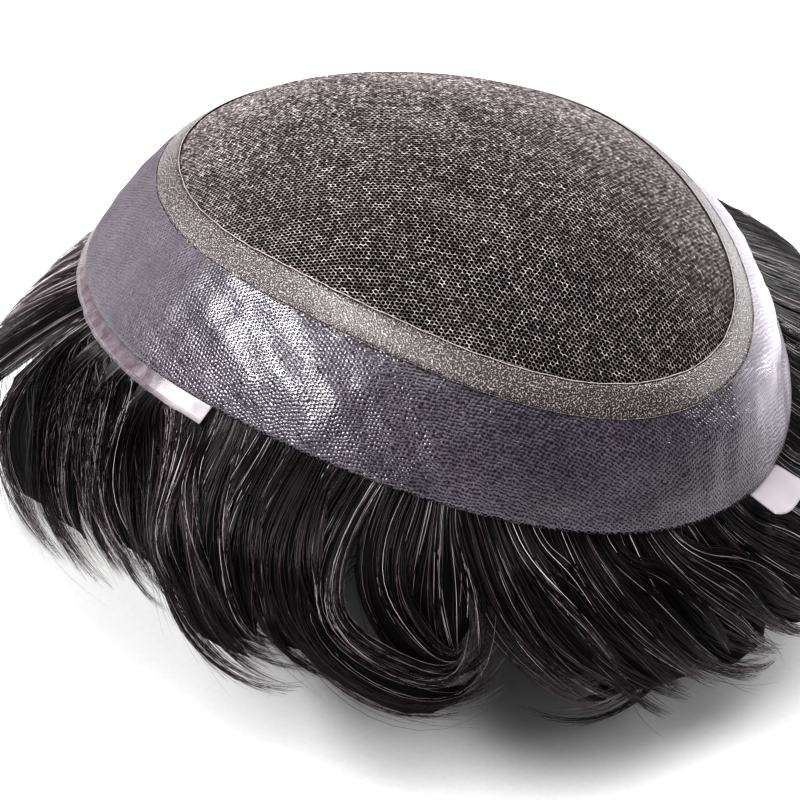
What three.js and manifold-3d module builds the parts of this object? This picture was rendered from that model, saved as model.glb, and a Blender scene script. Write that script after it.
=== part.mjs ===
// Toupee hairpiece, shown scalp side out: a lace crown in a wide skin band, a lace border over their
// seam, a clear strip along the front edge, a clear tab at the back, and hair hanging from under the edge.
// Millimetres, +Z up. The front hairline faces -Y and the wearer's left is +X.
// The origin is the top of the hollow, where a head meets the hair.
import * as THREE from "three";
import { LoftGeometry } from "three/addons/geometries/LoftGeometry.js";
import { mergeVertices } from "three/addons/utils/BufferGeometryUtils.js";
import Module from "manifold-3d";

// Base form: an oval dome, the outside of the lace and the skin
const baseHalfWidth = 82;
const baseFront = 102;
const baseBack = 88;
const baseHeight = 73.5;
// How far the oval is pulled in between its four ends, as a share of its radius
const cornerPull = 0.038;

// Edge of the base, in degrees from the top of the dome
const rimAngleSide = 63.5;
const rimAngleFront = 72.5;
const rimAngleBack = 78;

// Walls, and the clearance between pieces that touch
const laceWall = 1;
const skinWall = 1;
const borderWall = 0.8;
const filmWall = 1;
const matWall = 4;
const gap = 0.3;

// Skin band, from the edge up to the seam
const skinWidthSide = 33.5;
const skinWidthFront = 35.5;
const skinWidthBack = 32;
// A long fold stands up out of the band at its back right
const foldHeight = 1.4;
const foldWidth = 9;
const foldMiddleAngle = 132;
const foldSpread = 44;

// Lace border: it laps onto the crown and runs down over the band
const borderLap = 1.2;
const borderWidth = 6.5;

// How far the clear strip and tab reach up under the skin
const filmTuck = 8;

// Clear strip along the front half of the edge
const stripReach = 4;
const stripEndAngle = -1;

// Clear tab at the back edge
const tabAngle = 96;
const tabWidth = 13;
const tabReach = 10;
// The tab stands out from the edge at this angle below level
const tabSlope = 14;

// Hair: the mat inside the base hangs below the edge as a short skirt
const skirtDrop = 17;
const skirtWave = 2.5;
const skirtWaves = 11;

// Hair: locks fused to a root band just under the edge
const rootWall = 2;
const rootDrop = 9;
const rootTuck = 3;
const lockLength = 100;
const lockWidth = 24;
const lockThickness = 7;
const lockLift = 12;
const liftDrop = 38;
const layerStep = 1.5;

// Facets
const turnSteps = 42;
const domeSteps = 4;
const skirtSteps = 2;
const lockSteps = 6;
const lockSides = 6;

// One row for each lock. at: where its root is, in degrees round the head, -90 at the front and 90 at the
// back. start, middle and tip: its heading in degrees, 0 straight down and 90 towards larger angles;
// it reaches middle at the share bend of its length. length, lift, width, thick: shares of the named
// sizes. layer: how many layer steps it lies over the lowest locks.
const frontLocks = [
  { at: -118, start: 20, middle: 24, tip: -10, bend: 0.4, length: 0.56, lift: 1.1, width: 1.3, thick: 1.2, layer: 1 },
  { at: -104, start: 10, middle: 14, tip: -20, bend: 0.4, length: 0.52, lift: 0.5, width: 1.2, thick: 1.2, layer: 0 },
  { at: -92, start: 2, middle: 0, tip: -14, bend: 0.4, length: 0.5, lift: 0.3, width: 1.2, thick: 1.2, layer: 1 },
  { at: -80, start: -6, middle: -10, tip: 10, bend: 0.4, length: 0.5, lift: 0.3, width: 1.2, thick: 1.2, layer: 0 },
  { at: -69, start: -14, middle: -20, tip: 16, bend: 0.4, length: 0.52, lift: 0.9, width: 1.1, thick: 1.6, layer: 1 },
  { at: -60, start: -24, middle: -26, tip: 40, bend: 0.42, length: 0.56, lift: 1.4, width: 1.1, thick: 2.2, layer: 0 },
  { at: -51, start: -32, middle: 10, tip: 90, bend: 0.3, length: 0.74, lift: 1.4, width: 1, thick: 2.3, layer: 2 },
  { at: -43, start: -40, middle: 78, tip: 72, bend: 0.28, length: 0.86, lift: 1.3, width: 1, thick: 2.1, layer: 3 },
  { at: -35, start: -42, middle: 74, tip: 64, bend: 0.28, length: 0.8, lift: 1.2, width: 1, thick: 1.8, layer: 2 },
];
const leftLocks = [
  { at: -27, start: -30, middle: 70, tip: 58, bend: 0.28, length: 0.66, lift: 1, width: 1.1, thick: 1.6, layer: 1 },
  { at: -18, start: -10, middle: 62, tip: 46, bend: 0.32, length: 0.56, lift: 1, width: 1, thick: 1.4, layer: 2 },
  { at: -9, start: 10, middle: 46, tip: 40, bend: 0.4, length: 0.54, lift: 0.9, width: 0.9, thick: 1.2, layer: 1 },
  { at: -1, start: 16, middle: 32, tip: 110, bend: 0.6, length: 0.62, lift: 0.85, width: 0.9, thick: 1.1, layer: 2 },
  { at: 8, start: -4, middle: 24, tip: 96, bend: 0.55, length: 0.54, lift: 0.85, width: 0.9, thick: 1.1, layer: 1 },
  { at: 17, start: -12, middle: 26, tip: 84, bend: 0.5, length: 0.5, lift: 0.8, width: 0.9, thick: 1.1, layer: 2 },
  { at: 26, start: -30, middle: 72, tip: 200, bend: 0.52, length: 0.86, lift: 0.9, width: 0.6, thick: 1, layer: 3 },
  { at: 33, start: -24, middle: 40, tip: 180, bend: 0.5, length: 0.58, lift: 0.8, width: 0.5, thick: 0.9, layer: 1 },
  { at: 39, start: -8, middle: 10, tip: 24, bend: 0.5, length: 0.42, lift: 0.7, width: 0.8, thick: 0.9, layer: 0 },
];
const backLocks = [
  { at: 47, start: 18, middle: 42, tip: 46, bend: 0.4, length: 0.47, lift: 0.8, width: 1, thick: 1.1, layer: 1 },
  { at: 59, start: 12, middle: 44, tip: 50, bend: 0.4, length: 0.5, lift: 0.8, width: 1.1, thick: 1.1, layer: 2 },
  { at: 71, start: 16, middle: 44, tip: 54, bend: 0.4, length: 0.52, lift: 0.8, width: 1.1, thick: 1.1, layer: 1 },
  { at: 74, start: 0, middle: -34, tip: -104, bend: 0.5, length: 0.62, lift: 0.6, width: 0.6, thick: 0.8, layer: 0 },
  { at: 84, start: 20, middle: 46, tip: 56, bend: 0.4, length: 0.53, lift: 0.85, width: 1.1, thick: 1.1, layer: 2 },
  { at: 97, start: 22, middle: 42, tip: 40, bend: 0.4, length: 0.54, lift: 0.9, width: 1.1, thick: 1.1, layer: 1 },
  { at: 110, start: 20, middle: 34, tip: 20, bend: 0.4, length: 0.54, lift: 1, width: 1.2, thick: 1.2, layer: 2 },
  { at: 124, start: 12, middle: 22, tip: 20, bend: 0.4, length: 0.56, lift: 1.3, width: 1.2, thick: 1.4, layer: 1 },
];
const rightLocks = [
  { at: 139, start: 6, middle: 10, tip: 40, bend: 0.4, length: 0.58, lift: 1.5, width: 1.2, thick: 1.5, layer: 2 },
  { at: 152, start: 4, middle: 0, tip: 50, bend: 0.45, length: 0.58, lift: 1.6, width: 1.2, thick: 1.6, layer: 1 },
  { at: 166, start: 0, middle: -16, tip: 20, bend: 0.45, length: 0.58, lift: 1.4, width: 1.2, thick: 1.5, layer: 2 },
  { at: 180, start: -8, middle: -34, tip: -60, bend: 0.5, length: 0.56, lift: 0.9, width: 1.2, thick: 1.2, layer: 1 },
  { at: 194, start: 0, middle: -52, tip: -60, bend: 0.4, length: 0.6, lift: 0.9, width: 1.2, thick: 1.2, layer: 2 },
  { at: 207, start: 24, middle: -70, tip: -56, bend: 0.32, length: 0.72, lift: 1, width: 1.1, thick: 1.4, layer: 3 },
  { at: 220, start: 38, middle: -76, tip: -60, bend: 0.28, length: 0.84, lift: 1.2, width: 1.1, thick: 1.8, layer: 2 },
  { at: 230, start: 4, middle: -36, tip: -76, bend: 0.3, length: 0.74, lift: 1.3, width: 1.1, thick: 2.1, layer: 2 },
];

// The four hair pieces, the one that lies over its neighbours first, with the stretch of root band of each
const hairPieces = [
  { name: "hair_front", color: 0x1b1518, from: -123, to: -30, locks: frontLocks },
  { name: "hair_left", color: 0x1d171a, from: -30, to: 41, locks: leftLocks },
  { name: "hair_back", color: 0x1a1417, from: 41, to: 135, locks: backLocks },
  { name: "hair_right", color: 0x1c1619, from: 135, to: 237, locks: rightLocks },
];

// Height of the origin above the middle of the dome
const seatHeight = baseHeight - laceWall - gap - matWall;
// How far inside the base form the hair mat lies, under the lace and under the clear film
const matUnderLace = laceWall + gap;
const matUnderFilm = skinWall + gap + filmWall + gap;

const radians = THREE.MathUtils.degToRad;

function smooth(share) {
  const s = Math.min(Math.max(share, 0), 1);
  return s * s * (3 - 2 * s);
}

// A value that goes smoothly from side to front to side to back round the head
function around(side, front, back, turn) {
  const s = Math.sin(turn);
  const end = (front + back) / 2 + ((back - front) / 2) * s;
  return side + (end - side) * s * s;
}

// Radius of the base form's oval at its widest, moved outwards by lift
function planRadius(turn, lift) {
  const depth = Math.sin(turn) < 0 ? baseFront : baseBack;
  const x = Math.cos(turn) / (baseHalfWidth + lift);
  const y = Math.sin(turn) / (depth + lift);
  const size = x * x + y * y;
  const corner = (2 * x * y) / size;
  return (1 - cornerPull * corner * corner) / Math.sqrt(size);
}

function polar(turn, radius, height) {
  return new THREE.Vector3(radius * Math.cos(turn), radius * Math.sin(turn), height - seatHeight);
}

// A point of the base form at an angle down from its top, moved outwards by lift
function domePoint(turn, tilt, lift) {
  return polar(turn, planRadius(turn, lift) * Math.sin(tilt), (baseHeight + lift) * Math.cos(tilt));
}

function rimTilt(turn) {
  return radians(around(rimAngleSide, rimAngleFront, rimAngleBack, turn));
}

// The tilt that lies a distance further down the dome than another, or up where it is negative
function tiltAlong(turn, tilt, distance) {
  const steps = 12;
  const radius = planRadius(turn, 0);
  let at = tilt;
  for (let i = 0; i < steps; i++) {
    at += distance / steps / Math.hypot(radius * Math.cos(at), baseHeight * Math.sin(at));
  }
  return at;
}

function seamTilt(turn) {
  return tiltAlong(turn, rimTilt(turn), -around(skinWidthSide, skinWidthFront, skinWidthBack, turn));
}

// A point a drop below the edge of the base, on the base form carried on straight down, moved out by lift
function skirtPoint(turn, drop, lift) {
  const top = (baseHeight + lift) * Math.cos(rimTilt(turn));
  const height = top - drop;
  const share = Math.max(height, 0) / (baseHeight + lift);
  return polar(turn, planRadius(turn, lift) * Math.sqrt(1 - share * share), height);
}

// The bare positions and faces of a loft
function plain(loft) {
  const geometry = new THREE.BufferGeometry();
  geometry.setAttribute("position", loft.getAttribute("position"));
  geometry.setIndex(loft.getIndex());
  return geometry;
}

// A loft through the profiles at two angles and at every facet's angle between them
function loftBetween(from, to, profile) {
  const facet = 360 / turnSteps;
  const inner = [];
  for (let i = Math.ceil(from / facet); i * facet < to; i++) {
    if (i * facet > from) inner.push(i * facet);
  }
  const sections = [from, ...inner, to].map((angle) => profile(radians(angle)));
  return plain(new LoftGeometry(sections, { capStart: true, capEnd: true }));
}

// A loft through the profiles of a full turn, closed on itself
function loftRound(profile) {
  const sections = [];
  for (let i = 0; i <= turnSteps; i++) {
    sections.push(profile(radians((360 * (i % turnSteps)) / turnSteps)));
  }
  return plain(new LoftGeometry(sections));
}

// A shell's profile: its inside from the bottom up, then its outside from the top down
function shellProfile(inside, outside) {
  return [...inside.reverse(), ...outside];
}

const wasm = await Module();
wasm.setup();

function solidOf(geometry) {
  const merged = mergeVertices(geometry, 1e-3);
  return new wasm.Manifold(
    new wasm.Mesh({
      numProp: 3,
      vertProperties: new Float32Array(merged.attributes.position.array),
      triVerts: new Uint32Array(merged.index.array),
    }),
  );
}

function geometryOf(solid) {
  const mesh = solid.getMesh();
  const geometry = new THREE.BufferGeometry();
  geometry.setAttribute("position", new THREE.BufferAttribute(mesh.vertProperties, 3));
  geometry.setIndex(new THREE.BufferAttribute(mesh.triVerts, 1));
  return geometry;
}

function joined(solids) {
  return solids.reduce((all, one) => all.add(one));
}

// The largest body of a solid, without what a neighbour's lock has cut off
function mainBody(solid) {
  return solid.decompose().reduce((most, one) => (one.volume() > most.volume() ? one : most));
}

// Lace crown: a shallow dome that ends a gap short of the skin band
function laceCrown() {
  return loftRound((turn) => {
    const edge = tiltAlong(turn, seamTilt(turn), -gap);
    const row = (lift) =>
      Array.from({ length: domeSteps + 1 }, (_, i) => domePoint(turn, (edge * i) / domeSteps, lift));
    return shellProfile(row(-laceWall), row(0));
  });
}

// How far the skin stands up in its long fold, at an angle and a distance up from the edge
function foldLift(turn, distance) {
  const width = around(skinWidthSide, skinWidthFront, skinWidthBack, turn);
  const across = (distance - width / 2) / foldWidth;
  const degrees = THREE.MathUtils.radToDeg(turn);
  const along = (degrees - foldMiddleAngle) / foldSpread;
  return foldHeight * Math.exp(-4 * across * across) * smooth(1.5 * (1 - Math.abs(along)));
}

// Skin band: a thin ring wall between the seam and the edge
function skinBand() {
  return loftRound((turn) => {
    const width = around(skinWidthSide, skinWidthFront, skinWidthBack, turn);
    const foldFoot = foldWidth * 0.6;
    const rows = [width, width / 2 + foldFoot, width / 2, width / 2 - foldFoot, filmTuck, 0];
    const row = (lift) =>
      rows.map((up) => domePoint(turn, tiltAlong(turn, rimTilt(turn), -up), lift + foldLift(turn, up)));
    return shellProfile(row(-skinWall), row(0));
  });
}

// Lace border: a flat ring lying on the seam
function laceBorder() {
  return loftRound((turn) => {
    const seam = seamTilt(turn);
    const row = (lift) =>
      [-borderLap, borderWidth].map((down) => domePoint(turn, tiltAlong(turn, seam, down), lift));
    return shellProfile(row(gap), row(gap + borderWall));
  });
}

// The profile of a film tucked under the edge of the skin: up under it by tuck, and beyond it by reach
function filmProfile(turn, tuck, reach, lowest, highest) {
  const row = (lift) => [
    domePoint(turn, tiltAlong(turn, rimTilt(turn), -tuck), lift),
    skirtPoint(turn, 0, lift),
    skirtPoint(turn, reach, lift),
  ];
  return shellProfile(row(lowest), row(highest));
}

const filmTop = -(skinWall + gap);
const filmUnder = filmTop - filmWall;
const stripFrom = -180 - stripEndAngle;
const tabHalfAngle = THREE.MathUtils.radToDeg(tabWidth / 2 / planRadius(radians(tabAngle), 0));

function frontClearStrip() {
  return loftBetween(stripFrom, stripEndAngle, (turn) =>
    filmProfile(turn, filmTuck, stripReach, filmUnder, filmTop),
  );
}

// The profile of the tab: up under the skin, out at its slope, and as thick as wall below and above it
function tabProfile(turn, reach, below, above) {
  const slope = radians(tabSlope);
  const top = [
    domePoint(turn, tiltAlong(turn, rimTilt(turn), -filmTuck), filmTop + above),
    skirtPoint(turn, 0, filmTop + above),
  ];
  const under = [
    domePoint(turn, tiltAlong(turn, rimTilt(turn), -filmTuck), filmTop - below),
    skirtPoint(turn, below, filmTop - below),
  ];
  const out = new THREE.Vector3(Math.cos(turn), Math.sin(turn), 0).multiplyScalar(reach * Math.cos(slope));
  const outer = top[1].clone().add(out);
  outer.z -= reach * Math.sin(slope);
  const outerUnder = outer.clone();
  outerUnder.z -= (above + below) / Math.cos(slope);
  return shellProfile([...under, outerUnder], [...top, outer]);
}

function rearClearTab() {
  return loftBetween(tabAngle - tabHalfAngle, tabAngle + tabHalfAngle, (turn) => {
    const across = (THREE.MathUtils.radToDeg(turn) - tabAngle) / tabHalfAngle;
    return tabProfile(turn, tabReach * (1 - 0.2 * across ** 4), filmWall, 0);
  });
}

// Hair mat: it lines the base and ends below its edge in a short wavy skirt, here grown outwards by grow
function hairMat(grow) {
  return loftRound((turn) => {
    const seam = seamTilt(turn);
    const middle = (seam + rimTilt(turn)) / 2;
    const drop = skirtDrop + skirtWave * Math.sin(turn * skirtWaves) + grow;
    const row = (inset) => {
      const points = [];
      for (let i = 0; i <= domeSteps; i++) {
        points.push(domePoint(turn, (seam * i) / domeSteps, -(matUnderLace + inset)));
      }
      points.push(domePoint(turn, middle, -(matUnderFilm + inset)));
      for (let i = 0; i <= skirtSteps; i++) {
        points.push(skirtPoint(turn, (drop * i) / skirtSteps, -(matUnderFilm + inset)));
      }
      return points;
    };
    return shellProfile(row(matWall), row(-grow));
  });
}

// Heading of a lock at a share of its length
function headingAt(lock, share) {
  if (share < lock.bend) {
    return lock.start + (lock.middle - lock.start) * smooth(share / lock.bend);
  }
  return lock.middle + (lock.tip - lock.middle) * smooth((share - lock.bend) / (1 - lock.bend));
}

// How far a lock's underside stands out from the head form at a drop below the edge
function standOff(lock, drop) {
  const below = Math.max(drop - stripReach, 0);
  const rise = Math.sin((Math.PI / 2) * Math.min(below / (liftDrop - stripReach), 1));
  const settled = smooth(below / rootDrop);
  return gap - matUnderFilm + (gap + lock.layer * layerStep) * settled + lockLift * lock.lift * rise;
}

// Half the thickness of a lock at a share of its length: thin at the root, and thin at the tip
function halfThickness(lock, share) {
  const grown = 0.1 + 0.9 * smooth(share / 0.3);
  const taper = 0.2 + 0.8 * Math.sqrt(Math.max(1 - ((share - 0.4) / 0.6) ** 2, 0));
  return (lockThickness / 2) * lock.thick * grown * (share < 0.4 ? 1 : taper);
}

function halfWidth(lock, share) {
  const grown = 0.6 + 0.4 * smooth(share / 0.3);
  const taper = 0.12 + 0.88 * Math.sqrt(Math.max(1 - ((share - 0.45) / 0.55) ** 2, 0));
  return (lockWidth / 2) * lock.width * grown * (share < 0.45 ? 1 : taper);
}

// The middle line of a lock: its heading is followed in short steps over the head form
function lockPath(lock) {
  const fine = 4;
  const length = lockLength * lock.length;
  const step = length / (lockSteps * fine);
  const points = [];
  let turn = radians(lock.at);
  let drop = -rootTuck;
  for (let i = 0; i <= lockSteps * fine; i++) {
    const share = i / (lockSteps * fine);
    const out = standOff(lock, drop) + halfThickness(lock, share);
    const edge = baseHeight * Math.cos(rimTilt(turn));
    const height = edge - drop;
    const level = Math.max(height, 0) / baseHeight;
    const radius = planRadius(turn, 0) * Math.sqrt(1 - level * level) + out;
    if (i % fine === 0) {
      points.push(polar(turn, radius, height));
    }
    const heading = radians(headingAt(lock, share));
    turn += (step * Math.sin(heading)) / radius;
    drop += step * Math.cos(heading);
  }
  return points;
}

// A lock: a flat lens carried along its path, made bigger all round by grow
function lockGeometry(lock, grow) {
  const path = lockPath(lock);
  const sections = path.map((point, i) => {
    const ahead = path[Math.min(i + 1, path.length - 1)];
    const behind = path[Math.max(i - 1, 0)];
    const along = ahead.clone().sub(behind).normalize();
    const out = new THREE.Vector3(point.x, point.y, 0).normalize();
    const across = out.clone().cross(along).normalize();
    const normal = along.clone().cross(across).normalize();
    const share = i / (path.length - 1);
    const middle = point.clone();
    if (i === path.length - 1) middle.addScaledVector(along, grow);
    const wide = halfWidth(lock, share) + grow;
    const thick = halfThickness(lock, share) + grow;
    return Array.from({ length: lockSides }, (_, k) => {
      const angle = (2 * Math.PI * k) / lockSides;
      return middle
        .clone()
        .addScaledVector(across, wide * Math.cos(angle))
        .addScaledVector(normal, thick * Math.sin(angle));
    });
  });
  return plain(new LoftGeometry(sections, { capStart: true, capEnd: true }));
}

// The root band that a piece's locks are fused to, made bigger all round by grow
function rootBand(hair, grow) {
  const shorter = THREE.MathUtils.radToDeg((gap / 2 - grow) / baseHalfWidth);
  return loftBetween(hair.from + shorter, hair.to - shorter, (turn) => {
    const row = (lift) =>
      [-rootTuck - grow, 0, rootDrop + grow].map((drop) => skirtPoint(turn, drop, lift - matUnderFilm));
    return shellProfile(row(gap - grow), row(gap + rootWall + grow));
  });
}

// The space that the base and the mat need: the band, the strip, the tab and the mat with a gap round them
function baseSpace() {
  const outside = lockThickness * 2;
  const tuck = rootTuck + lockWidth;
  const more = THREE.MathUtils.radToDeg(gap / baseHalfWidth);
  const band = loftRound((turn) => filmProfile(turn, tuck, gap, filmTop, outside));
  const lowest = -matUnderFilm - gap;
  const strip = loftBetween(stripFrom - more, stripEndAngle + more, (turn) =>
    filmProfile(turn, tuck, stripReach + gap, lowest, outside),
  );
  const half = tabHalfAngle + more;
  const tab = loftBetween(tabAngle - half, tabAngle + half, (turn) =>
    tabProfile(turn, tabReach + outside, filmWall + gap, gap),
  );
  return joined([solidOf(band), solidOf(strip), solidOf(tab), solidOf(hairMat(gap))]);
}

const materials = {
  lace: { color: 0x3a3033, roughness: 0.85, metalness: 0 },
  border: { color: 0x7a6a6c, roughness: 0.8, metalness: 0 },
  skin: { color: 0x77727f, roughness: 0.3, metalness: 0 },
  film: { color: 0xd8c8cc, roughness: 0.2, metalness: 0 },
  mat: { color: 0x151113, roughness: 0.7, metalness: 0 },
};

function piece(name, geometry, material) {
  const mesh = new THREE.Mesh(geometry, new THREE.MeshStandardMaterial(material));
  mesh.name = name;
  return mesh;
}

const toupee = new THREE.Group();
toupee.add(piece("lace_crown", laceCrown(), materials.lace));
toupee.add(piece("lace_border", laceBorder(), materials.border));
toupee.add(piece("skin_band", skinBand(), materials.skin));
toupee.add(piece("front_clear_strip", frontClearStrip(), materials.film));
toupee.add(piece("rear_clear_tab", rearClearTab(), materials.film));
toupee.add(piece("hair_underlayer", hairMat(0), materials.mat));

// A hair piece's locks and root band as one solid, made bigger all round by grow
function hairSolid(hair, grow) {
  const locks = hair.locks.map((lock) => solidOf(lockGeometry(lock, grow)));
  return joined([solidOf(rootBand(hair, grow)), ...locks]);
}

// Each hair piece leaves room for the base and for the pieces that lie over it
let taken = baseSpace();
for (const hair of hairPieces) {
  const solid = mainBody(hairSolid(hair, 0).subtract(taken));
  toupee.add(piece(hair.name, geometryOf(solid), { color: hair.color, roughness: 0.45, metalness: 0 }));
  taken = taken.add(hairSolid(hair, gap));
}

export default toupee;
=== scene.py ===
"""Looks of a toupee hairpiece, shown scalp side out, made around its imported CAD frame.

The piece is a net crown in a thin polyurethane band, a doubled net border over their seam, clear film at
the front edge and the back, and human hair that falls from under the edge all round.
Run it as a script in Blender 4.5. Sizes in the code are millimetres; meshes are in metres.
"""

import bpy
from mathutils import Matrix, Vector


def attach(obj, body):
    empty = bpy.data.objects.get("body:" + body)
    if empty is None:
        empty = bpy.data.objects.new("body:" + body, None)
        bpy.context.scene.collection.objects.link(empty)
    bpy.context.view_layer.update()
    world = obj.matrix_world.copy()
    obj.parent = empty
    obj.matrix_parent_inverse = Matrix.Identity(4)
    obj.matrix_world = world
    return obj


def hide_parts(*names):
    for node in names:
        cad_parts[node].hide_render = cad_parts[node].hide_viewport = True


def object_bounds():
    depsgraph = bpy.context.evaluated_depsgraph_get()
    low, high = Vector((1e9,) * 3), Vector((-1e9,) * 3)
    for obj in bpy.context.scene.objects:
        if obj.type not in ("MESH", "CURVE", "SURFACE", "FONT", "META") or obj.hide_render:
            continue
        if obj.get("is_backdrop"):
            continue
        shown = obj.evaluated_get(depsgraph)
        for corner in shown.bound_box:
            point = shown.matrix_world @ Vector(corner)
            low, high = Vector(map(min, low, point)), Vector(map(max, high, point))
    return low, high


bl_info = {
    "name": "Toupee Hairpiece",
    "version": (1, 0, 0),
    "blender": (4, 5, 0),
    "location": "3D View > Sidebar > Hairpiece",
    "description": "Net crown, skin band, clear film and hair of a toupee over its CAD frame",
    "category": "Object",
}

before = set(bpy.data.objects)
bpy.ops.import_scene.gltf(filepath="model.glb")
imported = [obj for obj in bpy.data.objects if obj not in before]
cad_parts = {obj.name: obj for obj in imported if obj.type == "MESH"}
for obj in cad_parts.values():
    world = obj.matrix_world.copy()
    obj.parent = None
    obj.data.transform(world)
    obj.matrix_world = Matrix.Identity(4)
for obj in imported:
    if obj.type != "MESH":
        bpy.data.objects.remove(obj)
cad_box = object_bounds()

import math

import bpy
import numpy as np
from bpy.props import FloatProperty, FloatVectorProperty, IntProperty, PointerProperty
from mathutils import Matrix, Vector

BODY = "root"
MM = 0.001

# Base form: an oval dome, the outside of the lace and the skin, as in the part's source
HALF_WIDTH, FRONT, BACK, HEIGHT = 82.0, 102.0, 88.0, 73.5
CORNER_PULL = 0.038
RIM_SIDE, RIM_FRONT, RIM_BACK = 63.5, 72.5, 78.0
LACE_WALL = SKIN_WALL = FILM_WALL = 1.0
MAT_WALL, GAP = 4.0, 0.3
SKIN_SIDE, SKIN_FRONT, SKIN_BACK = 33.5, 35.5, 32.0
FOLD_HEIGHT, FOLD_WIDTH, FOLD_MIDDLE, FOLD_SPREAD = 1.4, 9.0, 132.0, 44.0
BORDER_LAP, BORDER_WIDTH = 1.2, 6.5
FILM_TUCK, STRIP_REACH, STRIP_END = 8.0, 4.0, -1.0
TAB_ANGLE, TAB_WIDTH, TAB_REACH, TAB_SLOPE = 96.0, 13.0, 10.0, 14.0
SKIRT_DROP, SKIRT_WAVE, SKIRT_WAVES = 17.0, 2.5, 11
ROOT_DROP, ROOT_TUCK = 9.0, 3.0
LOCK_LENGTH, LOCK_WIDTH, LOCK_THICKNESS = 100.0, 24.0, 7.0
LOCK_LIFT, LIFT_DROP, LAYER_STEP = 12.0, 38.0, 1.5

SEAT_HEIGHT = HEIGHT - LACE_WALL - GAP - MAT_WALL
MAT_UNDER_LACE = LACE_WALL + GAP
MAT_UNDER_FILM = SKIN_WALL + GAP + FILM_WALL + GAP
FILM_TOP = -(SKIN_WALL + GAP)
# How far hair may stand out for each millimetre below the edge, and how softly it is held to that
RISE, PRESSED = 1.4, 0.6
# How much less that is at the front, about which angle, and how far round
FRONT_PRESS, FRONT_MIDDLE, FRONT_SPREAD = 0.33, -88.0, 42.0
# The skin's edge stands out at the left of the front, and the strip below it leans out
FLARE, FLARE_MIDDLE, FLARE_SPREAD, STRIP_LEAN = 2.4, -42.0, 50.0, 0.55
# Points of the grids: round the band and the border, round the mat, along and down the strip, over the tab
ROUND_STEPS, MAT_STEPS, STRIP_STEPS, STRIP_ROWS, TAB_STEPS = 480, 300, 400, 12, 25
# Mean radii that turn an angle into a length along the seam, the mat and the edge
SEAM_RADIUS, MAT_RADIUS, EDGE_RADIUS = 70.0, 80.0, 90.0
# A lock's dense middle: corners and number of its rings, and the share of the lock's length that it reaches
CORE_SIDES, CORE_RINGS, CORE_REACH = 16, 18, 0.84
# Strands: points of one, of a lock's middle line, wisps of a lock, and the longest share of a lock's length
STRAND_STEPS, LINE_STEPS, WISPS, STRAND_REACH = 19, 65, 7, 1.06
# How far roots spread over a lock's width, and how much of that its wisp has taken up at the tip
ROOT_SPREAD, GATHER = 1.14, 0.86
# Shares of the strands that fly away and that run along a lock's underside, and how far one flies at most
FLY_SHARE, UNDER_SHARE, FLY_LIMIT = 0.045, 0.16, 6.5
# Widths of strands that fly away and of grey ones, as shares of the others'
FLY_WIDTH, GREY_WIDTH = 0.55, 0.58
# Short hairs over the mat's edge: how many, and points and corners of one
EDGE_HAIRS, EDGE_STEPS, EDGE_SIDES = 900, 9, 3

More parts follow.
